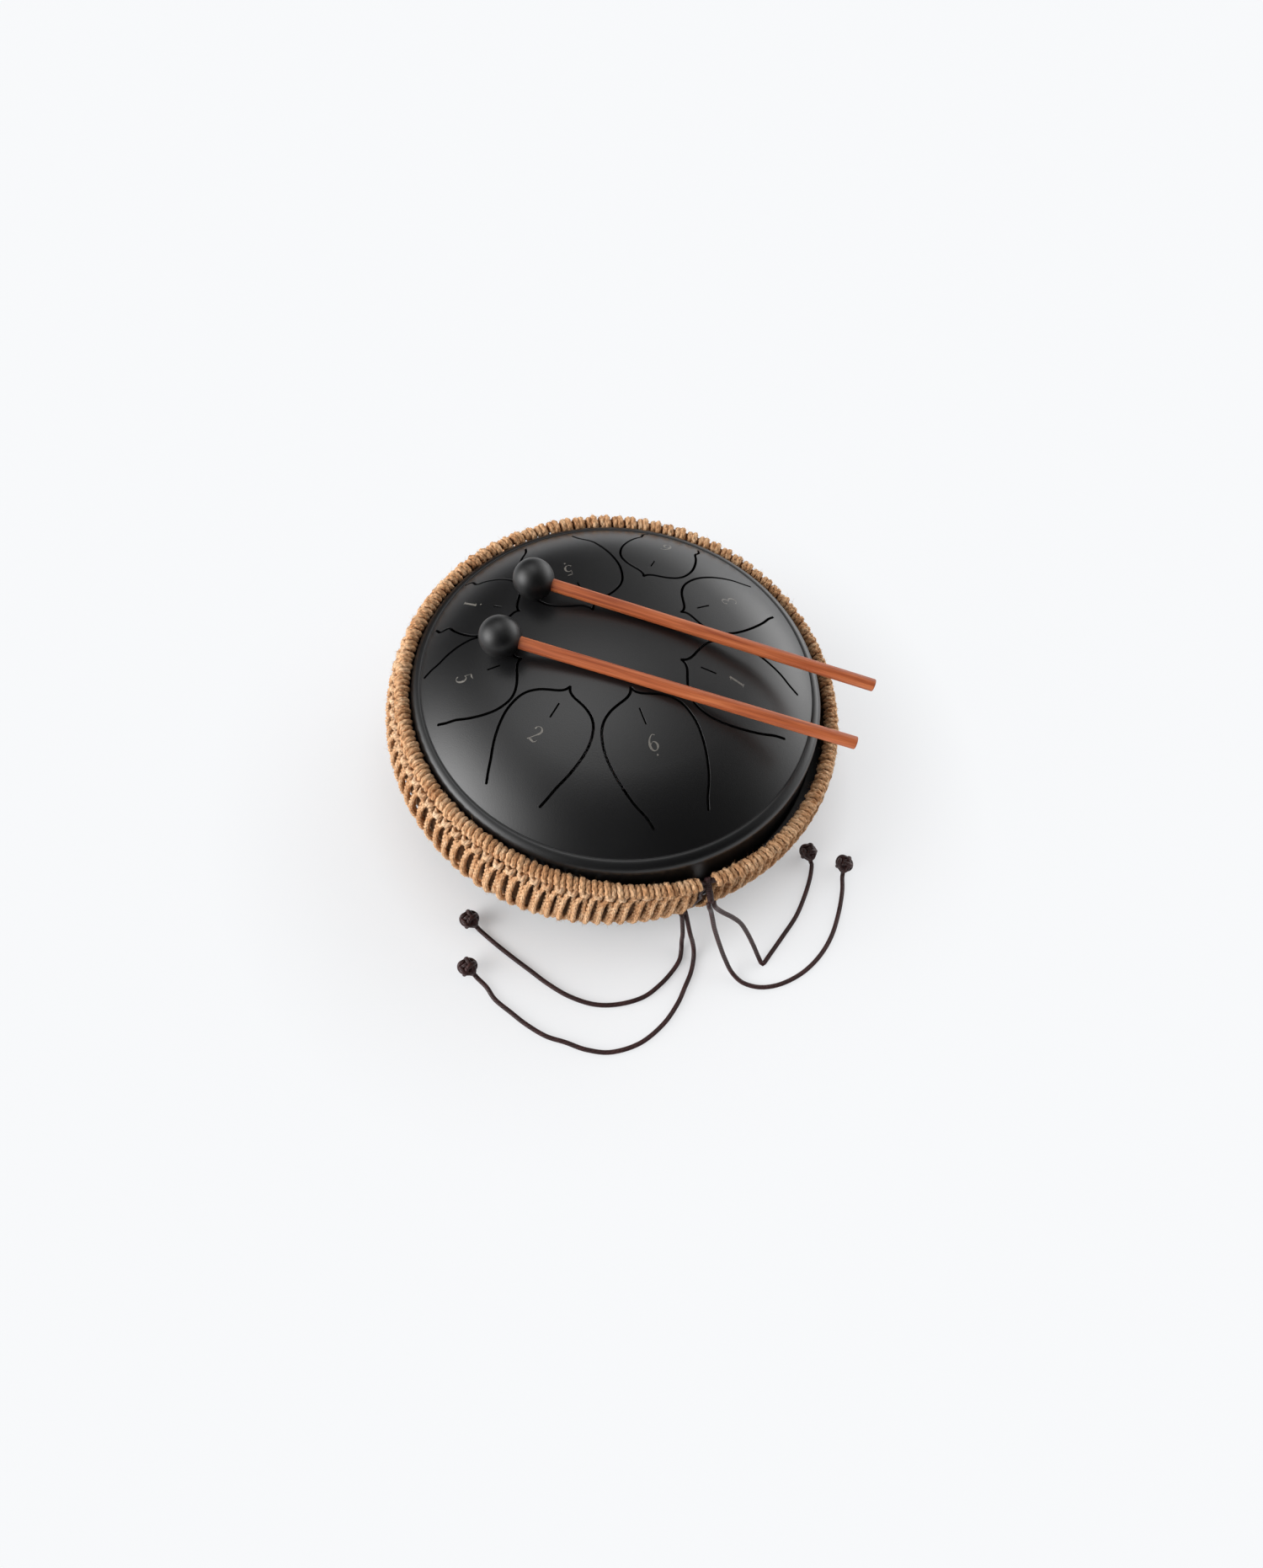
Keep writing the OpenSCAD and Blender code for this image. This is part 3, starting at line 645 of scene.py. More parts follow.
# of each kind of strand: the radius, and how far below the rim or above the hem it starts or ends
BAR_R, BAR_DROP, BAR_SPREAD = 1.6 * MM, 5.0 * MM, 1.5 * MM
LEG_DROP, LEG_FOOT = 5.8 * MM, 2.0 * MM
BACK_R, BACK_DROP, BACK_FOOT, BACK_INSET = 2.2 * MM, 5 * MM, 1 * MM, 5.2 * MM
HEM_LOOP_R, HEM_LOOP_REACH = 1.75 * MM, 2.2 * MM
CURL_R, CURL_FOOT, CURL_RISE = 1.6 * MM, 1.4 * MM, 1.3 * MM


def rim_loops():
    """Two fat strands a stitch go over the rim. Where they have room each pair bunches into a bump."""
    paths, sizes = [], []
    for i in range(STITCHES):
        room = -math.cos(2 * math.pi * (i + 0.5) / STITCHES)
        for side, reach, size, tilt in ((-1, 3.1 * MM, 1.06, 0.16), (1, 2.7 * MM, 0.98, 0.10)):
            offset = side * (0.215 - 0.03 * room)
            lean = tilt + jitter(0.08)
            grown = reach + jitter(0.3) * MM
            paths.append([around_rim(stitch_share(i, offset + lean * (2 * s - 1)), 200 - 275 * s, grown)
                          for s in np.linspace(0, 1, 10)])
            sizes.append(size * (1 + GATHER * room) + jitter(0.05))
    plies = plied(paths, RIM_PLY_APART, RIM_LAY, RIM_STEP, OVER_ROLL)
    return strands("crochet_rim", plies, RIM_PLY_R, 7, start=OVER_ROLL,
                   sizes=[size for size in sizes for _ in range(2)])


def crosswise_bars():
    paths = []
    for i in range(STITCHES):
        drop = BAR_DROP + jitter(0.8) * MM
        for turn in (-1, 1):
            route = []
            for s in np.linspace(-1, 1, 7):
                share = stitch_share(i, 0.40 * s + 0.06)
                height = under_rim(share) - drop + turn * BAR_SPREAD * math.sin(1.7 * s)
                route.append(on_wall(share, height, -0.3 * MM + 2.8 * MM * s * s))
            paths.append(route)
    return strands("crochet_bars", paths, BAR_R, 7, taper=lambda s: 0.5 + 0.55 * np.sin(np.pi * s))


ARCH_DOWN = [0, 0.03, 0.08, 0.16, 0.30, 0.48, 0.66, 0.84, 1]
ARCH_OUT = [0, 0.45, 0.78, 0.97, 1.0, 0.90, 0.76, 0.62, 0.50]


def arches():
    """Two legs a stitch leave one knot under the rim, spread into an arch and run down to the hem."""
    paths, sizes = [], []
    for i in range(STITCHES):
        lean = 0.10 + jitter(0.26)
        lift = jitter(1.4) * MM
        for leg in (-1, 1):
            bow = 0.38 * leg * (1 + jitter(0.28))
            deep = 1.3 * MM + 0.9 * MM * leg
            route = []
            for down, out in zip(ARCH_DOWN, ARCH_OUT):
                share = stitch_share(i, bow * out + lean * (down - 0.2))
                top = under_rim(share) - LEG_DROP + lift
                height = top + down * (over_hem(share) + LEG_FOOT - top)
                inset = deep - 1.5 * MM * math.sin(math.pi * down ** 0.8) + 1.8 * MM * down ** 3
                route.append(on_wall(share, height, inset))
            paths.append(route)
            sizes.append(1 + jitter(0.08))
    plies = plied(paths, LEG_PLY_APART, LEG_LAY, LEG_STEP)
    return strands("crochet_posts", plies, LEG_PLY_R, 5, sizes=[size for size in sizes for _ in range(2)])


def posts_behind():
    """The far side of the stitches, with their shade painted on as darker yarn, and close together at the
    foot.
    """
    paths = []
    for i in range(STITCHES):
        for leg in (-1, 1):
            route = []
            for s in np.linspace(0, 1, 7):
                share = stitch_share(i, 0.5 + leg * (0.14 + 0.11 * min(1, 2 * s)) + jitter(0.03))
                top = under_rim(share) - BACK_DROP
                height = top + s * (over_hem(share) + BACK_FOOT - top)
                inset = BACK_INSET - 0.4 * BELLY_TUCK * tuck(round_share(share, height))
                route.append(on_wall(share, height, inset))
            paths.append(route)
    return strands("crochet_posts_behind", paths, BACK_R, 6)


def hem_loops():
    paths = []
    for i in range(STITCHES):
        for offset in (-0.27, 0.27):
            swing = 0.10 + jitter(0.05)
            paths.append([around_hem(stitch_share(i, offset + swing * (2 * s - 1)), 130 - 280 * s,
                                     HEM_LOOP_REACH) for s in np.linspace(0, 1, 9)])
    return strands("crochet_hem", paths, HEM_LOOP_R, 8, start=OVER_ROLL,
                   taper=lambda s: 0.85 + 0.2 * np.sin(np.pi * s))


def hem_bumps():
    """A tight curl of yarn at the foot of each stitch."""
    paths, sizes = [], []
    for i in range(STITCHES):
        start = jitter(0.6)
        route = []
        for turn in np.linspace(0, 1.5 * math.pi, 8):
            share = stitch_share(i, 0.16 * math.cos(turn + start))
            height = over_hem(share) + CURL_FOOT + CURL_RISE * math.sin(turn + start)
            route.append(on_wall(share, height, 2.4 * MM - 1.2 * MM * math.sin(turn / 1.5)))
        paths.append(route)
        sizes.append(1 + jitter(0.10))
    return strands("crochet_knobs", paths, CURL_R, 7, sizes=sizes)


# the bars are drawn in the paler copy of the yarn as painted highlight, the posts behind in the darker copy
# as painted shade
crochet = {
    "crochet_rim": (rim_loops(), YARN, "cover_rim_roll"),
    "crochet_bars": (crosswise_bars(), YARN_PAINTED_HIGHLIGHT, None),
    "crochet_posts": (arches(), YARN, "cover_wall"),
    "crochet_posts_behind": (posts_behind(), YARN_PAINTED_SHADE, None),
    "crochet_hem": (hem_loops(), YARN, "cover_hem_roll"),
    "crochet_knobs": (hem_bumps(), YARN, None),
}
for name, (piece, material, stood_for) in crochet.items():
    hand_in(piece, material, stood_for)
    print(name, len(piece.data.polygons), "faces")

# %% [markdown]
# Spun yarn is hairy. Loose fibres start all over the stitches and curl away from them. They are swept like
# the yarn, with three sides each, in the paler copy of the yarn that paints highlight, and they soften the
# outline against the pale floor.

# %% Loose fibres
FIBRE_R, FIBRE_COUNT = 0.085 * MM, 12500


def fibres(name, pieces, count):
    paths = []
    for _ in range(count):
        faces = random.choice(pieces).data.polygons
        face = faces[random.randrange(len(faces))]
        drift = Vector([random.gauss(0, 1) for _ in range(3)]).normalized()
        curl = Vector([random.gauss(0, 1) for _ in range(3)]).normalized()
        way = (face.normal + 0.9 * drift).normalized()
        length = random.uniform(1.2, 3.0) * MM
        paths.append([np.array(face.center + length * (s * way + 0.45 * s * s * curl)) for s in (0, 0.5, 1)])
    return strands(name, paths, FIBRE_R, 3, taper=lambda s: 1 - 0.6 * s)


# the rim and the legs are listed twice, so that they get twice as many fibres
outer_yarn = [crochet[k][0] for k in ("crochet_rim", "crochet_rim", "crochet_bars", "crochet_posts",
                                      "crochet_posts", "crochet_hem", "crochet_knobs")]
loose = fibres("crochet_fibres", outer_yarn, FIBRE_COUNT)
# the fibres are drawn in the paler copy of the yarn, as painted highlight
hand_in(loose, YARN_PAINTED_HIGHLIGHT)
print("loose fibres", len(loose.data.polygons), "faces")

# %% [markdown]
# The rim's filling and the drawstrings. A strand of yarn in the darker copy, which paints shade, fills the
# rolled rim and the hem so that no light passes between the loops. The drawstrings and the lacing are satin
# cord.

# %% Fillings and drawstrings
def round_line(centre, slit, radius, gap):
    """A line round the cover whose ends stop at this distance from the middle of the slit."""
    half = math.degrees(math.asin(gap / radius))
    return [centre(slit + half + s * (360 - 2 * half)) for s in np.linspace(0, 1, 181)]


# the lace's ends below the rim and above the hem, and its depth in the slit
LACE_DROP, LACE_FOOT, LACE_INSET = 6.4 * MM, 2.3 * MM, 1.5 * MM


def lace_line():
    made = []
    for h in np.linspace(rim_height(SLIT_TOP) - LACE_DROP, hem_height(SLIT_HEM) + LACE_FOOT, 24):
        azimuth = slit_azimuth(h)
        sway = 0.5 * math.sin((h - HEM_H) * 420)
        made.append(polar(wall_radius(azimuth, h, LACE_INSET), azimuth + sway, h))
    return made


RIM_ROUND = (rim_centre, SLIT_TOP, RIM_R)
HEM_ROUND = (hem_centre, SLIT_HEM, HEM_R)
STRING_GAP = 1.2 * MM
# the fillings are drawn in the darker copy of the yarn, as painted shade
# name, line, radius, sides, material, slot and the node it is drawn for
inner = [
    ("rim_filling", round_line(*RIM_ROUND, SLIT_TOP_W / 2), 2.4 * MM, 10, YARN_PAINTED_SHADE, "yarn", None),
    ("hem_filling", round_line(*HEM_ROUND, SLIT_HEM_W / 2), 1.9 * MM, 10, YARN_PAINTED_SHADE, "yarn", None),
    ("rim_string", round_line(*RIM_ROUND, STRING_GAP), 1.5 * MM, 8, CORD, "cord", "rim_drawstring"),
    ("hem_string", round_line(*HEM_ROUND, STRING_GAP), 1.5 * MM, 8, CORD, "cord", "hem_drawstring"),
    ("slit_lace", lace_line(), 1.3 * MM, 10, CORD, "cord", "slit_lacing"),
]
for name, line, radius, sides, material, slot_name, stood_for in inner:
    hand_in(strands(name, [line], radius, sides), material, stood_for)

# %% [markdown]
# The steel. Both shells are dark satin: a hard matt finish over pressed sheet, so the base is nearly black,
# the highlights are broad, and a fine grain breaks them up.

# %% Steel material
def steel_material():
    material, tree, shader, place = new_material("satin_steel")
    cloud = noise(tree, place, 14.0, 4.0)
    tone = ramp(tree, cloud, [(0.3, (0.0055, 0.0055, 0.0058)), (0.7, (0.0085, 0.0085, 0.0090))])
    rough = maths(tree, "ADD", 0.285, scaled(tree, cloud, 0.05))
    dress(tree, shader, tone, rough, 0.5, (noise(tree, place, 1500.0, 3.0), 0.7, 0.00009))
    return material


STEEL = steel_material()

# %% [markdown]
# The top shell's section is drawn once, from the crown over the crease and the shoulder down to the flange
# and back along the inner side, and then spun round the axis. The crown and the edge of the dome are two
# arcs that run into each other.

# %% Section of the top shell
CROWN_RADIUS, CROWN_R, EDGE_RADIUS = 320 * MM, 76 * MM, 118 * MM
WALL = 1.6 * MM
SHOULDER_R, SKIRT_R, FLANGE_R = 127 * MM, 129 * MM, 136 * MM
SHOULDER_ROUND = 4.5 * MM
SHOULDER_SWEEP, SHOULDER_DROP = 7 * MM, 7.2 * MM
BEND_R, FLANGE_EDGE = 1.4 * MM, 0.4 * MM
# where the dome's points stop short of the crease, outside and inside
DOME_STOP, DOME_STOP_IN = 0.25 * MM, 0.6 * MM
# the skirt's two corners: in from its widest, and up from the seam
SKIRT_FORM = [(0.5 * MM, 8 * MM), (0, 3 * MM)]
SHOULDER_TOP = CREASE_H - 0.9 * MM
CROWN_TURN = math.asin(CROWN_R / CROWN_RADIUS)
EDGE_AXIS_R = (CROWN_RADIUS - EDGE_RADIUS) * math.sin(CROWN_TURN)
EDGE_DROP = CROWN_RADIUS - (CROWN_RADIUS - EDGE_RADIUS) * math.cos(CROWN_TURN)
APEX_H = CREASE_H + EDGE_DROP - math.sqrt(EDGE_RADIUS ** 2 - (CREASE_R - EDGE_AXIS_R) ** 2)


def dome_point(radius, inset=0.0):
    """Height and outward normal (radial, up) of the dome at a distance from the axis."""
    if radius < (CROWN_RADIUS - inset) * math.sin(CROWN_TURN):
        bow, out, drop = CROWN_RADIUS - inset, radius, CROWN_RADIUS
    else:
        bow, out, drop = EDGE_RADIUS - inset, radius - EDGE_AXIS_R, EDGE_DROP
    reach = math.sqrt(bow ** 2 - out ** 2)
    return APEX_H - drop + reach, (out / bow, reach / bow)


def arc(centre_r, centre_h, radius, start, end, count):
    return [(centre_r + radius * math.cos(math.radians(a)), centre_h + radius * math.sin(math.radians(a)))
            for a in np.linspace(start, end, count)]


def spun(name, section, steps):
    """Spins a closed section round the drum's axis, merges the seam and turns the faces outwards."""
    piece = mesh_piece(name, [(r, 0, h) for r, h in section], [])
    bm = bmesh.new()
    bm.from_mesh(piece.data)
    bm.verts.ensure_lookup_table()
    for i in range(len(section)):
        a, b = bm.verts[i], bm.verts[(i + 1) % len(section)]
        if a.co.x > 1e-7 or b.co.x > 1e-7:
            bm.edges.new((a, b))
    bm.to_mesh(piece.data)
    bm.free()
    activate(piece)
    bpy.ops.object.mode_set(mode="EDIT")
    bpy.ops.mesh.select_all(action="SELECT")
    bpy.ops.mesh.spin(steps=steps, angle=2 * math.pi, center=(0, 0, 0), axis=(0, 0, 1))
    bpy.ops.mesh.select_all(action="SELECT")
    bpy.ops.mesh.remove_doubles(threshold=1e-6)
    bpy.ops.mesh.dissolve_degenerate(threshold=1e-7)
    bpy.ops.object.mode_set(mode="OBJECT")
    face_outwards(piece)
    return piece


# the crease, the ledge and the step up to the shoulder: mm out from the crease and mm down from it
CREASE_FORM = [(0, 0.12), (0.12, 0.55), (0.45, 0.55), (0.6, 0.38), (0.85, 0.33), (1.4, 0.35), (1.9, 0.46)]
outer = [(r, dome_point(r)[0]) for r in np.linspace(0, CREASE_R - DOME_STOP, 58)]
crease = [(CREASE_R + out * MM, CREASE_H - down * MM) for out, down in CREASE_FORM]
shoulder = arc(SHOULDER_R - SHOULDER_SWEEP, CREASE_H - SHOULDER_DROP, SHOULDER_SWEEP, 70, 0, 14)
skirt = [(SKIRT_R - inward, SEAM_H + up) for inward, up in SKIRT_FORM]
bend = arc(SKIRT_R + BEND_R, SEAM_H + WALL + BEND_R, BEND_R, 180, 270, 6)
flange = [(FLANGE_R - FLANGE_EDGE, SEAM_H + WALL), (FLANGE_R, SEAM_H + WALL - FLANGE_EDGE),
          (FLANGE_R, SEAM_H), (SKIRT_R - WALL, SEAM_H)]
inner_side = [(SHOULDER_R - WALL, SHOULDER_TOP - SHOULDER_ROUND)]
inner_shoulder = arc(SHOULDER_R - SHOULDER_ROUND, SHOULDER_TOP - SHOULDER_ROUND, SHOULDER_ROUND - WALL,
                     5, 90, 7)
inner_dome = [(r, dome_point(r, WALL)[0]) for r in np.linspace(CREASE_R - DOME_STOP_IN, 0, 48)]
top_section = outer + crease + shoulder + skirt + bend + flange + inner_side + inner_shoulder + inner_dome
steel_top = spun("steel_top", top_section, 256)
print("top shell", len(steel_top.data.polygons), "faces")

# %% [markdown]
# The tongues. Each slot follows a petal: a sharp tip towards the middle, concave shoulders that swell to
# the widest place, and two legs that run out towards the crease. The cutter is a strip swept along that
# line on the dome, a little wider at the surface, so that the cut's edges catch the light as a real cut
# does.

# %% Petal outlines
PETAL_CENTRE = (-11.2 * MM, 7.4 * MM)
SLOT_W, VENT_W = 1.6 * MM, 1.0 * MM
CUT_DEPTH, CUT_CLEAR, CUT_EDGE = 4 * MM, 1 * MM, 0.06 * MM
ALONG = [0, 0.035, 0.06, 0.08, 0.1, 0.13, 0.18, 0.245, 0.33, 0.42, 0.52, 0.62, 0.72, 0.82, 0.92, 1]
WIDTH = [0, 0.045, 0.12, 0.23, 0.39, 0.58, 0.765, 0.89, 0.965, 1, 0.99, 0.95, 0.885, 0.795]
FOOT_BLEND = 0.07
PETAL_STEP, STROKE_SPACING = 1.2 * MM, 0.35 * MM
# note, azimuth, lean, tip, end, half width, foot width, short cut from, to, the note's place
petals = [
    ("1", -8.5, -1.2, 0.386, 0.986, 0.238, 0.60, 0.487, 0.569, 0.674),
    ("6.", -59.1, 0.5, 0.319, 0.972, 0.235, 0.59, 0.432, 0.520, 0.614),
    ("2", -110.3, 3.5, 0.343, 0.903, 0.218, 0.65, 0.442, 0.525, 0.625),
    ("5", -153.2, 1.5, 0.430, 0.891, 0.224, 0.67, 0.536, 0.600, 0.714),
    ("1'", 167.9, 0.5, 0.469, 0.862, 0.203, 0.84, 0.569, 0.611, 0.748),
    ("5.", 122.2, -1.0, 0.176, 0.827, 0.252, 0.54, 0.300, 0.388, 0.493),
    ("6", 74.9, 0.3, 0.465, 0.920, 0.202, 0.76, 0.560, 0.614, 0.791),
    ("3", 35.5, -0.3, 0.421, 0.938, 0.200, 0.60, 0.516, 0.589, 0.717),
]


def petal_frame(azimuth):
    a = math.radians(azimuth)
    return np.array([math.cos(a), math.sin(a)]), np.array([-math.sin(a), math.cos(a)])


def petal_leg(petal, side):
    """One side of the petal's line in plan, from the tip to the foot."""
    _, azimuth, lean, tip, end, half, foot, _, _, _ = petal
    widths = WIDTH + [foot + FOOT_BLEND, foot]
    line = [np.array([CREASE_R * a * (end - tip), side * w * half * CREASE_R, 0])
            for a, w in zip(ALONG, widths)]
    out, _ = petal_frame(azimuth)
    leant_out, leant_across = petal_frame(azimuth + lean)
    tip_place = PETAL_CENTRE + CREASE_R * tip * out
    return np.array([tip_place + r * leant_out + w * leant_across
                     for r, w, _ in smooth_route(line, PETAL_STEP)])


def on_dome(plan, lift=0.0):
    radius = math.hypot(*plan)
    height, (radial, up) = dome_point(radius)
    out = np.array([plan[0] / radius, plan[1] / radius, 0]) if radius > 1e-6 else np.zeros(3)
    normal = radial * out + np.array([0, 0, up])
    return np.array([plan[0], plan[1], height]) + lift * normal, normal


def strip_on_dome(name, plan, halves, section):
    """A closed strip along a line on the dome. section lists what the half width gains, and the lift."""
    steps = np.gradient(plan, axis=0)
    across = np.column_stack([-steps[:, 1], steps[:, 0]]) / np.linalg.norm(steps, axis=1)[:, None]
    points = []
    for place, side, half in zip(plan, across, halves):
        points += [on_dome(place + side * (half + more), lift)[0] for more, lift in section]
        points += [on_dome(place - side * (half + more), lift)[0] for more, lift in reversed(section)]
    ring = 2 * len(section)
    faces = [tuple(range(ring))[::-1], tuple((len(plan) - 1) * ring + j for j in range(ring))]
    for i in range(len(plan) - 1):
        for j in range(ring):
            k = (j + 1) % ring
            faces.append((i * ring + j, i * ring + k, (i + 1) * ring + k, (i + 1) * ring + j))
    strip = mesh_piece(name, points, faces, smooth=False)
    face_outwards(strip)
    return strip


# %% [markdown]
# A strip that turned back on itself at the sharp tip would cross itself and spoil the cut. So each petal is
# cut by its two legs in turn: all the left legs with the short cuts in one boolean, then all the right
# legs.

# %% Cut the tongues
SLOT_SECTION = [(0, -CUT_DEPTH), (0, -CUT_EDGE), (CUT_EDGE, 0.1 * CUT_EDGE), (CUT_EDGE, CUT_CLEAR)]


def leg_cutter(petal, side):
    line = petal_leg(petal, side)
    way = unit(line[-1] - line[-2])
    rounded = [line[-1] + way * SLOT_W / 2 * share for share in (0.5, 0.87, 0.98)]
    start = line[0] - unit(line[1] - line[0]) * 0.3 * SLOT_W
    halves = [0.42 * SLOT_W] + [SLOT_W / 2] * len(line) + [SLOT_W / 2 * share for share in (0.87, 0.5, 0.2)]
    return strip_on_dome("leg", np.array([start, *line, *rounded]), halves, SLOT_SECTION)


def vent_cutter(petal):
    out, _ = petal_frame(petal[1])
    line = np.array([PETAL_CENTRE + CREASE_R * share * out for share in np.linspace(petal[7], petal[8], 9)])
    return strip_on_dome("vent", line, [VENT_W / 2] * len(line), SLOT_SECTION)


for side in (-1, 1):
    strips = [leg_cutter(petal, side) for petal in petals]
    if side < 0:
        strips += [vent_cutter(petal) for petal in petals]
    cutter = joined(strips)
    activate(steel_top)
    cut = steel_top.modifiers.new("tongues", "BOOLEAN")
    cut.operation = "DIFFERENCE"
    cut.solver = "EXACT"
    cut.object = cutter
    bpy.ops.object.modifier_apply(modifier="tongues")
    bpy.data.objects.remove(cutter)
    print("after the cuts", len(steel_top.data.polygons), "faces")

# %% [markdown]
# A cut leaves long thin faces, which would show as creases in a satin highlight. So the shading normals of
# the dome are set from its two arcs, wherever all corners of a face lie on its outer or inner side, while
# the walls of the cuts keep their own.

# %% Shading of the dome
ON_SURFACE, NEAR_CREASE, BELOW_DOME = 0.03 * MM, 0.3 * MM, 3 * MM


def dome_side(co):
    """1 on the outer side of the dome, -1 on its inner side and 0 elsewhere."""
    radius = math.hypot(co.x, co.y)
    if co.z < CREASE_H - BELOW_DOME or radius > CREASE_R - NEAR_CREASE:
        return 0
    if abs(co.z - dome_point(radius)[0]) < ON_SURFACE:
        return 1
    return -1 if abs(co.z - dome_point(radius, WALL)[0]) < ON_SURFACE else 0


def set_dome_normals(piece):
    mesh = piece.data
    mesh.polygons.foreach_set("use_smooth", [True] * len(mesh.polygons))
    mesh.update()
    sides = [dome_side(v.co) for v in mesh.vertices]
    ideal = [Vector(on_dome((v.co.x, v.co.y))[1]) if side else None for v, side in zip(mesh.vertices, sides)]
    loop_normals = [corner.vector.copy() for corner in mesh.corner_normals]
    for polygon in mesh.polygons:
        met = {sides[v] for v in polygon.vertices}
        if met == {0}:
            continue
        side = met.pop() if len(met) == 1 else 0
        for loop_index, v in zip(polygon.loop_indices, polygon.vertices):
            loop_normals[loop_index] = ideal[v] * side if side else polygon.normal.copy()
    mesh.normals_split_custom_set(loop_normals)


shade_by_angle(steel_top, 38)
set_dome_normals(steel_top)
hand_in(steel_top, STEEL, "top_shell")

# %% [markdown]
# Each tongue carries the number of its note, and a dot below or above tells a low or a high octave. They
# are etched faintly, as pale matt marks. Every stroke is a thin strip on the dome, drawn as a pen would: a
# line of points with the pen's width at each, in hundredths of the number's height.

# %% Note numbers
NOTE_H = 9.4 * MM
# a note stands back against its petal's lean, by this share of it
NOTE_BACK = 0.45
# each stroke of a number stands a little prouder than the one before, by this share
MARK_PROUD, STROKE_STEP = 0.05 * MM, 0.12
strokes = {
    "1": [[(42, 100, 14), (22, 0, 14)], [(42, 100, 4), (22, 86, 3)],
          [(8, 0, 3), (36, 0, 3)]],
    "2": [[(12, 76, 10), (14, 90, 5), (30, 100, 4), (48, 95, 8), (56, 78, 12),
           (50, 60, 11), (34, 40, 6), (14, 16, 4), (2, 2, 3)],
          [(2, 3, 4), (14, 10, 10), (30, 6, 12), (44, 2, 8), (56, 10, 4),
           (60, 20, 3)]],
    "3": [[(14, 78, 9), (20, 93, 5), (36, 100, 4), (52, 93, 8), (56, 80, 10),
           (48, 64, 7), (30, 55, 3)],
          [(30, 55, 3), (46, 48, 8), (53, 33, 13), (46, 12, 10), (28, 0, 4),
           (10, 4, 5), (3, 16, 9)]],
    "5": [[(24, 97, 7), (42, 95, 9), (60, 100, 3)], [(24, 97, 3), (16, 55, 3)],
          [(16, 55, 3), (30, 62, 5), (46, 54, 10), (50, 34, 14), (40, 10, 10),
           (22, 0, 4), (8, 4, 5), (2, 15, 9)]],
    "6": [[(56, 92, 5), (44, 100, 4), (26, 88, 7), (10, 60, 12), (6, 30, 14),
           (14, 7, 9), (28, 0, 4), (44, 8, 8), (52, 28, 13), (46, 48, 9),
           (32, 56, 4), (18, 48, 4), (10, 36, 3)]],
}
dots = {".": -0.28, "'": 1.28}
DOT_W, DOT_TURNS = 0.12, 8


def dot_stroke(y):
    half = DOT_W / 2
    return [(0.30 + half * c, y, max(DOT_W * math.sqrt(1 - c * c), 0.01))
            for c in np.linspace(-1, 1, DOT_TURNS)]


def note_strokes(petal):
    note, azimuth, place = petal[0], petal[1], petal[9]
    out, _ = petal_frame(azimuth - NOTE_BACK * petal[2])
    up = -out
    right = np.array([up[1], -up[0]])
    lines = [smooth_route(np.array(stroke) * NOTE_H / 100, STROKE_SPACING) for stroke in strokes[note[0]]]
    lines += [np.array(dot_stroke(dots[note[1]])) * NOTE_H] if len(note) > 1 else []
    made = []
    for i, line in enumerate(lines):
        plan = np.array([PETAL_CENTRE + CREASE_R * place * out + (x - 0.3 * NOTE_H) * right
                         + (y - 0.5 * NOTE_H) * up for x, y, _ in line])
        top = MARK_PROUD * (1 + STROKE_STEP * i)
        made.append(strip_on_dome("stroke", plan, line[:, 2] / 2, [(0, -MARK_PROUD), (0, top)]))
    return made


def etched_material():
    material, tree, shader, place = new_material("etched_mark")
    wear = noise(tree, place, 900.0, 3.0)
    tone = ramp(tree, wear, [(0.3, (0.100, 0.093, 0.082)), (0.7, (0.200, 0.187, 0.165))])
    dress(tree, shader, tone, maths(tree, "ADD", 0.30, scaled(tree, wear, 0.15)), 0.5)
    return material


numbers = joined([strip for petal in petals for strip in note_strokes(petal)])
numbers.name = "etched_numbers"
hand_in(numbers, etched_material())
print("note numbers", len(numbers.data.polygons), "faces")

# %% [markdown]
# The bottom shell is a bowl with a round port in its base. The port's edge is turned in, as a pressed hole
# is, and the shell meets the upper one at the flange.

# %% Bottom shell and foot ring
BOWL_ROUND, BASE_H = 50 * MM, 7 * MM
BASE_OUT, BASE_IN = 58 * MM, 45 * MM
PORT_R, PORT_ROUND, LIP_ROUND, LIP_H = 30 * MM, 2 * MM, 1.2 * MM, 3.2 * MM
LIP_BACK = 3 * MM
FOOT_IN, FOOT_OUT, FOOT_ROUND = 52 * MM, 62 * MM, 1 * MM
bowl_axis_r = SKIRT_R - BOWL_ROUND
bowl_axis_h = BASE_H + BOWL_ROUND
bottom_section = (
    [(FLANGE_R, SEAM_H), (FLANGE_R, SEAM_H - WALL + FLANGE_EDGE), (FLANGE_R - FLANGE_EDGE, SEAM_H - WALL)]
    + arc(SKIRT_R + BEND_R, SEAM_H - WALL - BEND_R, BEND_R, 90, 180, 6)
    + arc(bowl_axis_r, bowl_axis_h, BOWL_ROUND, 0, -90, 26)
    + [(BASE_OUT, BASE_H), (BASE_IN, BASE_H)]
    + arc(PORT_R + PORT_ROUND, BASE_H + PORT_ROUND, PORT_ROUND, 270, 180, 6)
    + [(PORT_R, BASE_H + LIP_H), (PORT_R + LIP_ROUND, BASE_H + LIP_H)]
    + arc(PORT_R + LIP_BACK, BASE_H + WALL + LIP_ROUND, LIP_ROUND, 180, 270, 4)
    + [(BASE_OUT, BASE_H + WALL)]
    + arc(bowl_axis_r, bowl_axis_h, BOWL_ROUND - WALL, -90, 0, 26)
    + [(SKIRT_R - WALL, SEAM_H)])
steel_bottom = spun("steel_bottom", bottom_section, 192)
shade_by_angle(steel_bottom, 35)
hand_in(steel_bottom, STEEL, "bottom_shell")

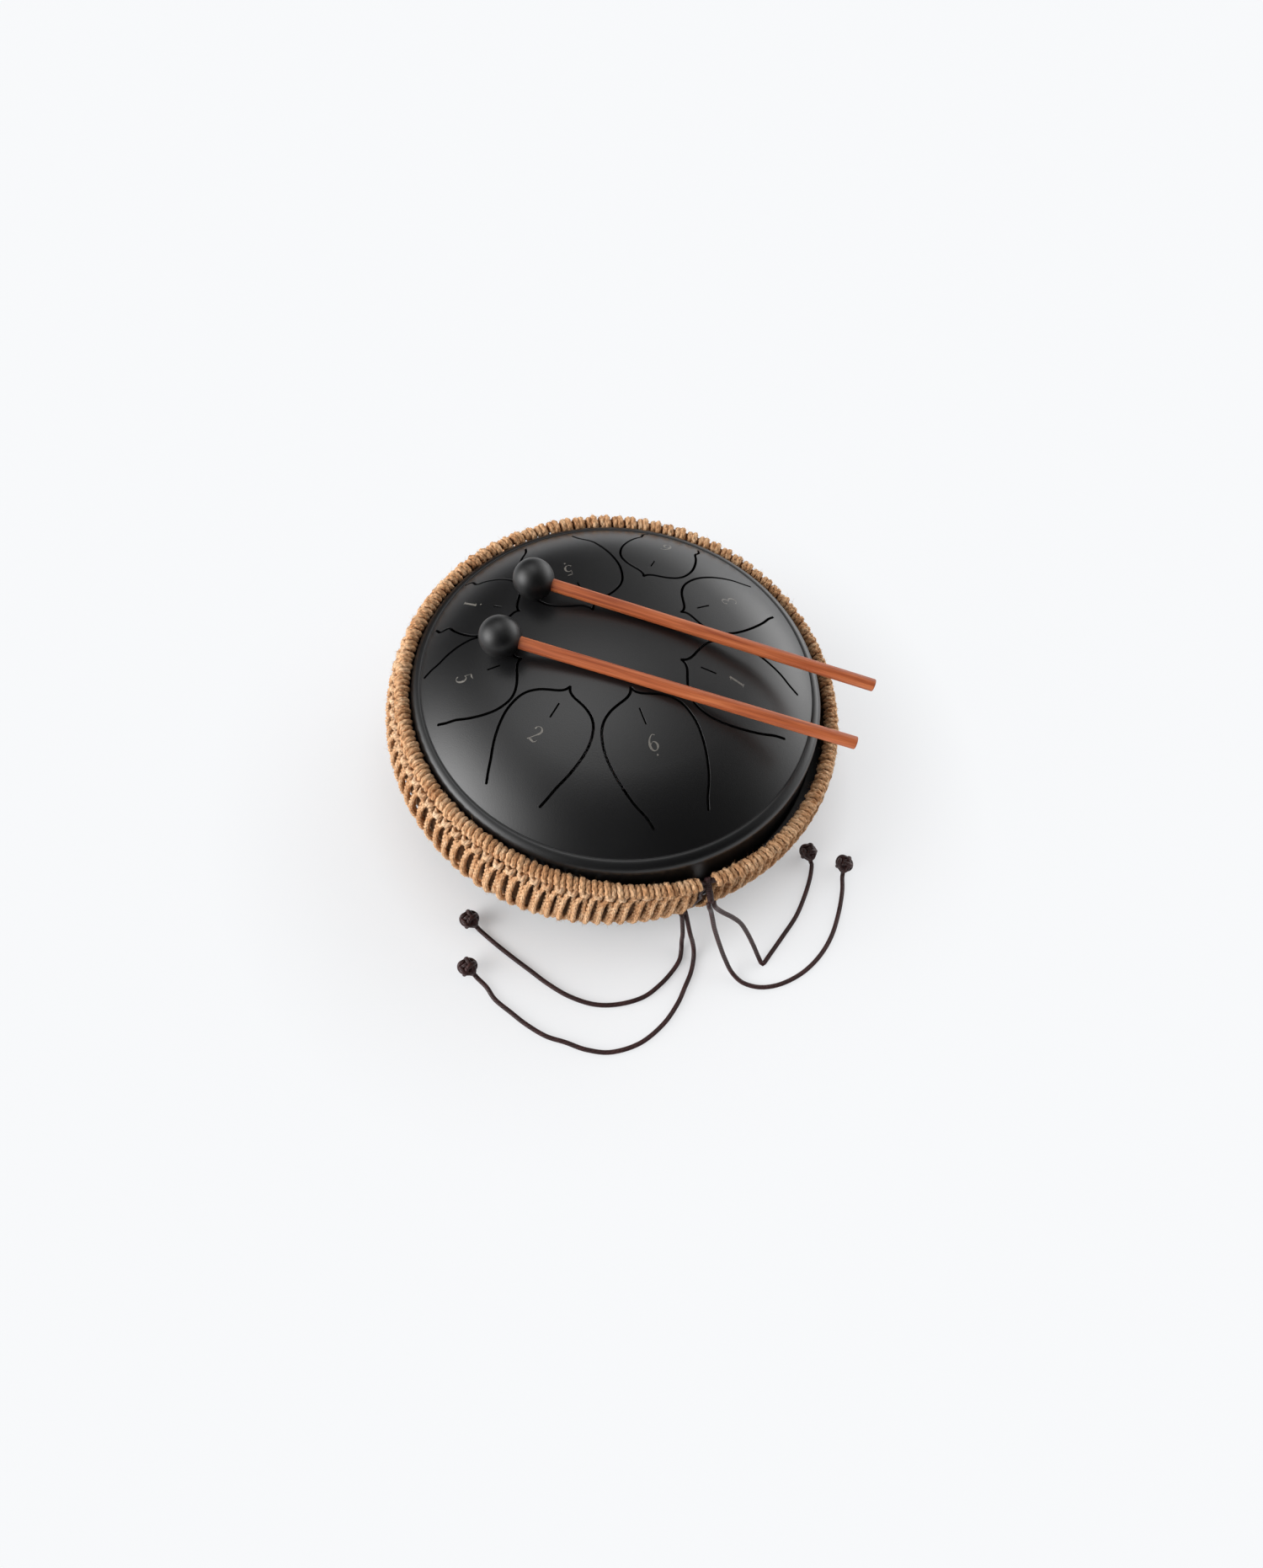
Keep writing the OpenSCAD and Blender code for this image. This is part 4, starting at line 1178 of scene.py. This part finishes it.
foot_section = (arc(FOOT_IN + FOOT_ROUND, FOOT_ROUND, FOOT_ROUND, 180, 270, 5)
                + arc(FOOT_OUT - FOOT_ROUND, FOOT_ROUND, FOOT_ROUND, -90, 0, 5)
                + [(FOOT_OUT, BASE_H), (FOOT_IN, BASE_H)])
foot = spun("rubber_foot", foot_section, 128)
shade_by_angle(foot, 35)

# %% [markdown]
# Rubber is matt and nearly black, with a faint mottling in its gloss.

# %% Rubber material
def rubber_material():
    material, tree, shader, place = new_material("black_rubber")
    mottle = noise(tree, place, 220.0, 4.0)
    tone = ramp(tree, mottle, [(0.3, (0.0040, 0.0040, 0.0042)), (0.7, (0.0065, 0.0065, 0.0068))])
    rough = maths(tree, "ADD", 0.37, scaled(tree, mottle, 0.10))
    dress(tree, shader, tone, rough, 0.5, (noise(tree, place, 3200.0, 1.0), 0.2, 0.00005))
    return material


RUBBER = rubber_material()
hand_in(foot, RUBBER, "foot_ring")

# %% [markdown]
# The mallets. Each head is a rubber ball with a bore, and its stick is a turned hardwood dowel with its far
# edge rounded. Both lie just clear of the crown, so their slope follows from their radii.

# %% Mallet places
HEAD_D, STICK_D = 25 * MM, 7.5 * MM
HEAD_BORE, STICK_EDGE, NEAR_END = 9 * MM, 0.8 * MM, 0.1 * MM
CROWN_CENTRE_H = APEX_H - CROWN_RADIUS


def mallet_frame(x, y, azimuth):
    head_orbit = CROWN_RADIUS + HEAD_D / 2 + SEAT_GAP
    stick_orbit = CROWN_RADIUS + STICK_D / 2 + SEAT_GAP
    head = Vector((x, y, CROWN_CENTRE_H + math.sqrt(head_orbit ** 2 - x * x - y * y)))
    a = math.radians(azimuth)
    inward = x * math.cos(a) + y * math.sin(a)
    rise = head.z - CROWN_CENTRE_H
    run = math.sqrt(head_orbit ** 2 - stick_orbit ** 2)
    slope = -math.asin(run / math.hypot(inward, rise)) - math.atan2(inward, rise)
    turn = Matrix.Rotation(a, 4, "Z") @ Matrix.Rotation(math.pi / 2 - slope, 4, "Y")
    return Matrix.Translation(head) @ turn


# place of the head and azimuth of the stick, length of the stick from the head's middle, seed of the grain
mallets = {
    "back_mallet": (mallet_frame(-60.3 * MM, 34.1 * MM, -7.46), 211.3 * MM, 3.0),
    "front_mallet": (mallet_frame(-70.1 * MM, -11.2 * MM, -6.93), 210.8 * MM, 11.0),
}

# %% [markdown]
# The dowel's grain runs along it, so the pattern is laid in the dowel's own direction: a Mapping node turns
# the object's coordinates back to the stick, and noise stretched along the stick draws the fibres and
# pores.

# %% Wood material
def wood_material(name, place, seed):
    material, tree, shader, coordinates = new_material(name)
    inverse = place.inverted()
    turned = node(tree, "Mapping", {"Vector": coordinates, "Location": inverse.to_translation(),
                                    "Rotation": inverse.to_euler("XYZ")}).outputs[0]
    long = node(tree, "Mapping", {"Vector": turned, "Location": (seed,) * 3, "Scale": (1.0, 1.0, 0.045)})
    fine = node(tree, "Mapping", {"Vector": turned, "Location": (seed, 0, 0), "Scale": (1.0, 1.0, 0.02)})
    bands = noise(tree, long.outputs[0], 420.0, 5.0, Distortion=0.4)
    fibres = noise(tree, fine.outputs[0], 2600.0, 2.0)
    tone = ramp(tree, bands, [(0.34, (0.31, 0.064, 0.018)), (0.5, (0.49, 0.120, 0.037)),
                              (0.66, (0.62, 0.182, 0.063))])
    pores = scaled(tree, maths(tree, "POWER", fibres, 3.0), 1.7)
    shade = blend(tree, pores, tone, (0.20, 0.045, 0.018))
    dress(tree, shader, shade, 0.5, 0.4, (fibres, 0.35, 0.0001))
    return material


# %% [markdown]
# Each stick is a cylinder that starts at the bottom of its ball's bore. Each ball is a sphere cut flat
# where the bore's wall meets it, with the flat pushed in as far as the bore goes.

# %% Model the mallets
def stick(name, place, reach):
    inside = HEAD_D / 2 - HEAD_BORE
    length = reach + inside
    deselect()
    bpy.ops.mesh.primitive_cylinder_add(vertices=48, radius=STICK_D / 2, depth=length,
                                        location=(0, 0, length / 2 - inside))
    piece = bpy.context.view_layer.objects.active
    piece.name = name
    bpy.ops.object.transform_apply(location=True, rotation=True, scale=True)
    bpy.ops.object.mode_set(mode="EDIT")
    bpy.ops.mesh.select_all(action="DESELECT")
    bpy.ops.object.mode_set(mode="OBJECT")
    for edge in piece.data.edges:
        edge.select = all(piece.data.vertices[v].co.z > reach - NEAR_END for v in edge.vertices)
    bpy.ops.object.mode_set(mode="EDIT")
    bpy.ops.mesh.bevel(offset=STICK_EDGE, segments=4, affect="EDGES")
    bpy.ops.object.mode_set(mode="OBJECT")
    shade_by_angle(piece, 50)
    piece.data.transform(place)
    return piece


def head(name, place):
    deselect()
    bpy.ops.mesh.primitive_uv_sphere_add(segments=64, ring_count=40, radius=HEAD_D / 2)
    piece = bpy.context.view_layer.objects.active
    piece.name = name
    bore_h = math.sqrt((HEAD_D / 2) ** 2 - (STICK_D / 2) ** 2)
    bpy.ops.object.mode_set(mode="EDIT")
    bpy.ops.mesh.select_all(action="SELECT")
    bpy.ops.mesh.bisect(plane_co=(0, 0, bore_h), plane_no=(0, 0, 1), clear_outer=True, use_fill=True)
    deep = bore_h + HEAD_D / 2 - HEAD_BORE
    bpy.ops.mesh.extrude_region_move(TRANSFORM_OT_translate={"value": (0, 0, -deep)})
    bpy.ops.object.mode_set(mode="OBJECT")
    face_outwards(piece)
    shade_by_angle(piece, 40)
    piece.data.transform(place)
    return piece


for name, (place, reach, seed) in mallets.items():
    wood = wood_material(name + "_wood", place, seed)
    hand_in(stick(name + "_dowel", place, reach), wood, name + "_stick", name)
    hand_in(head(name + "_ball", place), RUBBER, name + "_head", name)

# %% [markdown]
# The room: a pale floor under soft daylight. Three broad round lights make the daylight: one high and a
# little behind, one low on the left and one at the back right. Each is the cosine of the angle from its
# middle, raised to a power that says how broad it is. Glossy surfaces see them in a nearly dark sky, so the
# steel fades to black towards the front. For everything else a part of the light is spread evenly, which
# keeps the shadows soft. The camera sees a plain pale sky, as bright as the floor.
#
# The floor's own colour is the pale one of the picture. To the camera and to reflections a part of it is
# shown unshaded, so that the object's shadow on it stays light and the far floor is as bright as it is
# written. There is none of that under the drum, where the slots and the sound port look down on a dark
# place.

# %% Floor and light
FLOOR_TINT = (0.94, 0.95, 0.965, 1)
FLOOR_REACH = 0.5
# distance from the drum's axis in metres, and the share of the floor's colour that is shown unshaded there
floor_unshaded = [(0.115, 0.0), (0.140, 0.18), (0.18, 0.64), (0.28, 0.97)]


def floor_material():
    material, tree, shader, place = new_material("pale_floor")
    dress(tree, shader, FLOOR_TINT, 0.9, 0.0)
    distance = node(tree, "VectorMath", {0: place}, operation="LENGTH").outputs["Value"]
    stops = [(reach / FLOOR_REACH, (share,) * 3) for reach, share in floor_unshaded]
    unshaded = ramp(tree, maths(tree, "DIVIDE", distance, FLOOR_REACH), stops)
    seen = node(tree, "LightPath").outputs
    direct = maths(tree, "MAXIMUM", seen["Is Camera Ray"], seen["Is Glossy Ray"])
    plain = node(tree, "Emission", {"Color": FLOOR_TINT})
    mixed = node(tree, "MixShader", {0: maths(tree, "MULTIPLY", direct, unshaded), 1: shader.outputs[0],
                                     2: plain.outputs[0]})
    tree.links.new(mixed.outputs[0], tree.nodes["Material Output"].inputs["Surface"])
    return material


deselect()
bpy.ops.mesh.primitive_plane_add(size=8, location=(0, 0, 0))
floor = bpy.context.view_layer.objects.active
floor.name = "floor"
floor.data.materials.append(floor_material())

DIM_SKY, EVEN_LIGHT, SKY_SEEN = 0.013, 0.16, 0.95
# azimuth, elevation, power, strength to glossy rays and strength to all others
sky_lights = [(123.5, 69.9, 14.7, 2.55, 0.3), (204.5, 18.2, 10.4, 8.66, 9.6), (46, 2, 5.6, 4.4, 5.6)]

world = bpy.data.worlds.new("soft_daylight")
world.use_nodes = True
bpy.context.scene.world = world
sky = world.node_tree
background = sky.nodes["Background"]
way = node(sky, "TexCoord").outputs["Generated"]
glossy_light, other_light = DIM_SKY, EVEN_LIGHT
for azimuth, elevation, power, to_glossy, to_others in sky_lights:
    a = math.radians(elevation)
    middle = tuple(polar(math.cos(a), azimuth, math.sin(a)))
    facing = node(sky, "VectorMath", {0: way, 1: middle}, operation="DOT_PRODUCT").outputs["Value"]
    falling = maths(sky, "POWER", maths(sky, "MAXIMUM", facing, 0.0), power)
    glossy_light = maths(sky, "ADD", maths(sky, "MULTIPLY", falling, to_glossy), glossy_light)
    other_light = maths(sky, "ADD", maths(sky, "MULTIPLY", falling, to_others), other_light)
rays = node(sky, "LightPath").outputs
lit = node(sky, "Mix", {0: rays["Is Glossy Ray"], 2: other_light, 3: glossy_light}).outputs[0]
strength = node(sky, "Mix", {0: rays["Is Camera Ray"], 2: lit, 3: SKY_SEEN}).outputs[0]
set_input(sky, background.inputs["Strength"], strength)
set_input(sky, background.inputs["Color"], (1, 1, 1, 1))

bpy.context.scene.view_settings.view_transform = "Standard"
